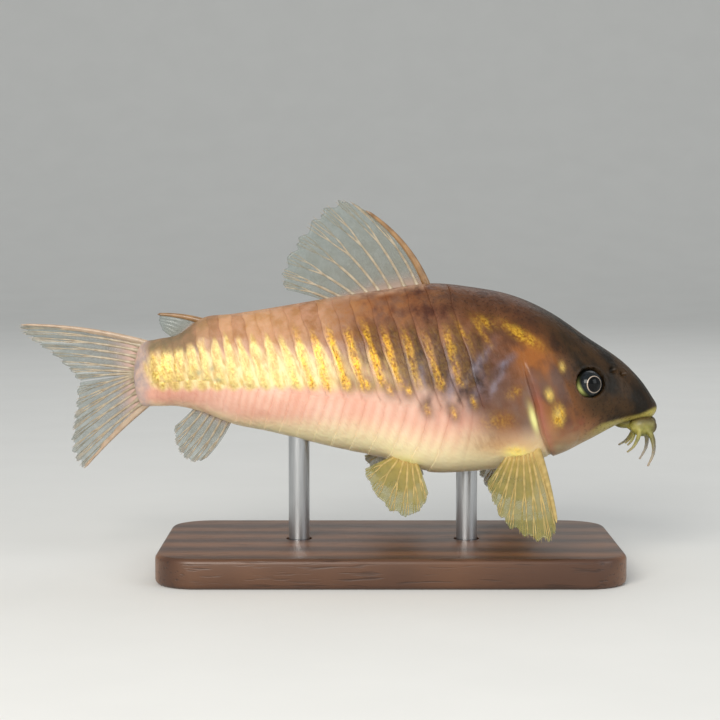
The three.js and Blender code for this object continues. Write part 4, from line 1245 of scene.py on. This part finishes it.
# %% Paired fins
for word, side in (("left", LEFT), ("right", RIGHT)):
    pectoral = Fan(root_flank((17.2, 14.7), (13.6, 13.9), side),
                   [(18.6, 14.6 * side, 7.6), (17.9, 16.1 * side, 5.65), (15.6, 15.8 * side, 5.75),
                    (13.0, 14.3 * side, 7.0), (11.6, 12.2 * side, 9.2), (10.9, 10.0 * side, 11.4)],
                   (0.24, 0.48 * side, 0.56), (0.06, 0.12 * side, 0.14), 8, True, 19)
    make_fin(f"pectoral_fin_{word}", pectoral, straw_membrane, amber_rays, 0.2, 0.46, amber_rays)
    pelvic = Fan(root_flank((3.0, 13.1), (0.6, 13.7), side),
                 [(4.4, 8.6 * side, 9.9), (3.5, 9.9 * side, 8.3), (1.7, 10.3 * side, 7.5),
                  (-0.4, 9.8 * side, 8.4), (-2.25, 8.6 * side, 10.6), (-3.15, 7.0 * side, 12.6)],
                 (0.05, 0.2 * side, 0.3), (0.02, 0.08 * side, 0.12), 6, False, 23)
    make_fin(f"pelvic_fin_{word}", pelvic, straw_membrane, amber_rays, 0.18)

# %% [markdown]
# ## The stand's block
# The fish swims, so a plain stand holds it up: a wooden block and two steel rods. The block is a cube
# with its upright edges bevelled widely, as a router rounds a corner, and then its top and bottom edges
# a little, as sandpaper breaks them.

# %% Walnut block
BASE_LENGTH, BASE_WIDTH, BASE_HEIGHT = 54, 30, 3.5
CORNER, BROKEN_EDGE = (5.0, 12), (0.6, 4)     # radius and steps of a bevel
deselect()
bpy.ops.mesh.primitive_cube_add(size=1, location=(0, 0, BASE_HEIGHT / 2 * MM))
block = bpy.context.object
block.name = block.data.name = "walnut_base"
block.scale = (BASE_LENGTH * MM, BASE_WIDTH * MM, BASE_HEIGHT * MM)
bpy.ops.object.transform_apply(location=True, rotation=True, scale=True)
for upright, (width, segments) in ((True, CORNER), (False, BROKEN_EDGE)):
    only(block)
    bpy.ops.object.mode_set(mode="EDIT")
    bpy.ops.mesh.select_mode(type="EDGE")
    bpy.ops.mesh.select_all(action="DESELECT")
    bpy.ops.object.mode_set(mode="OBJECT")
    for edge in block.data.edges:
        first, second = (block.data.vertices[i].co.z for i in edge.vertices)
        edge.select = (abs(first - second) > MM) == upright
    bpy.ops.object.mode_set(mode="EDIT")
    bpy.ops.mesh.bevel(offset=width * MM, segments=segments, profile=0.5)
    bpy.ops.object.mode_set(mode="OBJECT")
print("base:", len(block.data.polygons), "faces")

# %% [markdown]
# ## Rods and their holes
# Each rod stands in a blind hole, 2.2 mm deep and 0.3 mm wider all round, and ends just inside the belly.
# The hole is cut by a boolean, as a drill would. Both rods stand under the fish's middle, so the rear
# one follows the swing of the tail.

# %% Rods and their holes
ROD_RADIUS, SOCKET, GAP, INTO_BELLY = 1.25, 2.2, 0.3, 0.35
RODS = {"front": 9.2, "rear": -10.8}


def upright_rod(name, x, y, radius, low, high):
    deselect()
    bpy.ops.mesh.primitive_cylinder_add(vertices=64, radius=radius * MM, depth=(high - low) * MM,
                                        location=(x * MM, y * MM, (low + high) / 2 * MM))
    rod = bpy.context.object
    rod.name = rod.data.name = name
    bpy.ops.object.transform_apply(location=True, rotation=True, scale=True)
    return rod


rods = []
for word, place in RODS.items():
    middle = float(swing(place))
    underside = float(section(station_of(place))[2])
    hole = upright_rod("hole", place, middle, ROD_RADIUS + GAP, BASE_HEIGHT - SOCKET, BASE_HEIGHT + 2)
    only(block)
    cut = block.modifiers.new("cut", "BOOLEAN")
    cut.operation, cut.object, cut.solver = "DIFFERENCE", hole, "MANIFOLD"
    bpy.ops.object.modifier_apply(modifier="cut")
    bpy.data.objects.remove(hole)
    rod = upright_rod(f"steel_rod_{word}", place, middle, ROD_RADIUS, BASE_HEIGHT - SOCKET + GAP,
                      underside + INTO_BELLY)
    only(rod)
    bpy.ops.object.shade_smooth_by_angle(angle=math.radians(40))
    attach(rod, "root")
    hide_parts(f"stand_rod_{word}")
    rods.append(rod)
    print(word, "rod up to", round(underside, 1), "mm")
only(block)
bpy.ops.object.shade_smooth_by_angle(angle=math.radians(40))
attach(block, "root")
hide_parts("stand_base")

# %% [markdown]
# ## Oiled walnut
# Walnut is a dark brown wood with a straight, slightly wavy figure along the board. Oil makes it satin.
# The light and dark bands of its figure are about 6.5 mm apart across the board. A wave pattern repeats
# about three times in each unit of its scale, which is why the scale is divided by that. The pores are
# short dark strokes along the grain, drawn 0.35 mm wide, because real ones would be too fine to show.

# %% Walnut
FIGURE_PITCH, PORE_WIDTH, WAVES_PER_UNIT = 6.5, 0.35, 3
walnut, tree, shader = new_material("oiled_walnut")
spot = node(tree, "TexCoord", out="Object")
warp = node(tree, "TexNoise", {"Vector": spot, "Scale": 1 / (18 * MM), "Detail": 3.0}, "Color")
bent = node(tree, "Mix", {0: 0.0035, 4: spot, 5: warp}, data_type="VECTOR")
long_way = node(tree, "Mapping", {"Vector": bent, "Scale": (0.08, 1, 1)})
figure = node(tree, "TexWave", {"Vector": long_way, "Scale": 1 / (FIGURE_PITCH * MM) / WAVES_PER_UNIT,
                                "Distortion": 3.0, "Detail": 3.0, "Detail Scale": 1.5},
              "Fac", bands_direction="Y")
drawn_out = node(tree, "Mapping", {"Vector": spot, "Scale": (0.07, 1, 1)})
pores = node(tree, "TexNoise", {"Vector": drawn_out, "Scale": 1 / (PORE_WIDTH * MM), "Detail": 2.0})
stroke = node(tree, "MapRange", {"Value": pores, "From Min": 0.56, "From Max": 0.68})
filled = node(tree, "Math", {0: stroke, 1: 0.6}, operation="MULTIPLY")
open_grain = node(tree, "Math", {0: 1.0, 1: stroke}, operation="SUBTRACT")
fill(tree, shader, {
    "Base Color": layered(tree, "#4A2E1D", (figure, "#7A5235"), (filled, "#2E1B10")),
    "Roughness": 0.42,
    "Normal": node(tree, "Bump", {"Strength": 0.6, "Distance": 0.05 * MM, "Height": open_grain}),
    "Coat Weight": 0.15,
    "Coat Roughness": 0.3,
})
block.data.materials.clear()
block.data.materials.append(walnut)
print("walnut:", len(tree.nodes), "nodes")

# %% [markdown]
# ## Brushed steel
# The rods are stainless steel, brushed lengthwise. Brushing leaves fine grooves along the rod, which
# spread its highlight to a soft streak. They are drawn 0.12 mm wide, wider than real ones, so that they
# show. Steel is a metal, so its colour lies in its reflection and its roughness is moderate.

# %% Brushed steel
BRUSHING_WIDTH = 0.12
steel, tree, shader = new_material("brushed_steel")
along_rod = node(tree, "Mapping", {"Vector": node(tree, "TexCoord", out="Object"), "Scale": (1, 1, 0.04)})
brushing = node(tree, "TexNoise", {"Vector": along_rod, "Scale": 1 / (BRUSHING_WIDTH * MM), "Detail": 2.0})
fill(tree, shader, {
    "Base Color": layered(tree, "#A9ABAD", (brushing, "#C9CBCD")),
    "Metallic": 1.0,
    "Roughness": 0.32,
    "Normal": node(tree, "Bump", {"Strength": 0.6, "Distance": 0.015 * MM, "Height": brushing}),
})
for rod in rods:
    rod.data.materials.clear()
    rod.data.materials.append(steel)
print("steel on", len(rods), "rods")

# %% [markdown]
# ## Floor
# The floor is one wide sheet of matt paper that sweeps up behind the model, as in a photographer's
# studio, so no horizon shows. It is a grid whose rows follow a flat run, a quarter circle and a wall.

# %% Sweep
SWEEP_WIDTH, SWEEP_RUN, SWEEP_FLAT, SWEEP_FRONT, SWEEP_RADIUS = 4, 2.4, 1.4, 0.8, 0.35     # in metres
deselect()
bpy.ops.mesh.primitive_grid_add(x_subdivisions=2, y_subdivisions=60, size=1)
sweep = bpy.context.object
sweep.name = sweep.data.name = "sweep"
for v in sweep.data.vertices:
    run = (v.co.y + 0.5) * SWEEP_RUN
    turn = min(max(run - SWEEP_FLAT, 0) / SWEEP_RADIUS, QUARTER)
    wall = max(run - SWEEP_FLAT - SWEEP_RADIUS * QUARTER, 0)
    v.co = (v.co.x * SWEEP_WIDTH, min(run, SWEEP_FLAT) - SWEEP_FRONT + SWEEP_RADIUS * math.sin(turn),
            SWEEP_RADIUS * (1 - math.cos(turn)) + wall)
only(sweep)
bpy.ops.object.shade_smooth()
paper, tree, shader = new_material("matt_paper")
fill(tree, shader, {"Base Color": layered(tree, "#E6E6E3", (mottle(tree, 9.0), "#E8E8E5")), "Roughness": 0.9})
sweep.data.materials.append(paper)
print("sweep:", SWEEP_WIDTH, "m wide")

# %% [markdown]
# ## Light
# A broad soft light from the front left and above shows the gold, a weaker one fills from the right, and
# a faint one from behind lifts the back off the wall. Small lamps would make hard dots on the wet skin.
# The pale floor and an even grey-white sky light the belly.

# %% Lights
LAMPS = {
    # place, size, watts, colour
    "key": ((-0.14, -0.36, 0.20), 0.22, 1.55, (1.0, 0.96, 0.90)),
    "fill": ((0.32, -0.22, 0.16), 0.25, 0.4, (0.94, 0.97, 1.0)),
    "rim": ((0.1, 0.30, 0.36), 0.25, 0.3, (1, 1, 1)),
}
heart = Vector((0, 0, 0.022))
for name, (place, size, watts, tone) in LAMPS.items():
    light = bpy.data.lights.new(name, "AREA")
    light.energy, light.size, light.color = watts, size, tone
    lamp = bpy.data.objects.new(name, light)
    bpy.context.scene.collection.objects.link(lamp)
    lamp.location = place
    lamp.rotation_euler = (heart - Vector(place)).to_track_quat("-Z", "Y").to_euler()
world = bpy.data.worlds.new("studio")
bpy.context.scene.world = world
bpy.context.scene.view_settings.view_transform = "Standard"
world.use_nodes = True
fill(world.node_tree, world.node_tree.nodes["Background"], {"Color": "#EDF0F2", "Strength": 0.5})
print("lamps:", *LAMPS)

# %% [markdown]
# ## Camera
# The camera is level with the flank, a little above it, and far enough away to flatten the fish as the
# picture does. A long lens does that better than a near, wide one.

# %% Camera
ELEVATION, DISTANCE = math.radians(4), 235.3 * MM
look_at = Vector((-3.53, -2.5, 25.06)) * MM
camera_data = bpy.data.cameras.new("camera")
camera_data.lens, camera_data.sensor_width = 100, 36
camera_data.clip_start, camera_data.clip_end = 0.01, 20
camera = bpy.data.objects.new("camera", camera_data)
bpy.context.scene.collection.objects.link(camera)
camera.location = look_at + Vector((0, -math.cos(ELEVATION), math.sin(ELEVATION))) * DISTANCE
camera.rotation_euler = (look_at - camera.location).to_track_quat("-Z", "Y").to_euler()
bpy.context.scene.camera = camera
print("camera", round(DISTANCE / MM), "mm from the fish, in the picture's frame of 720 by 720")
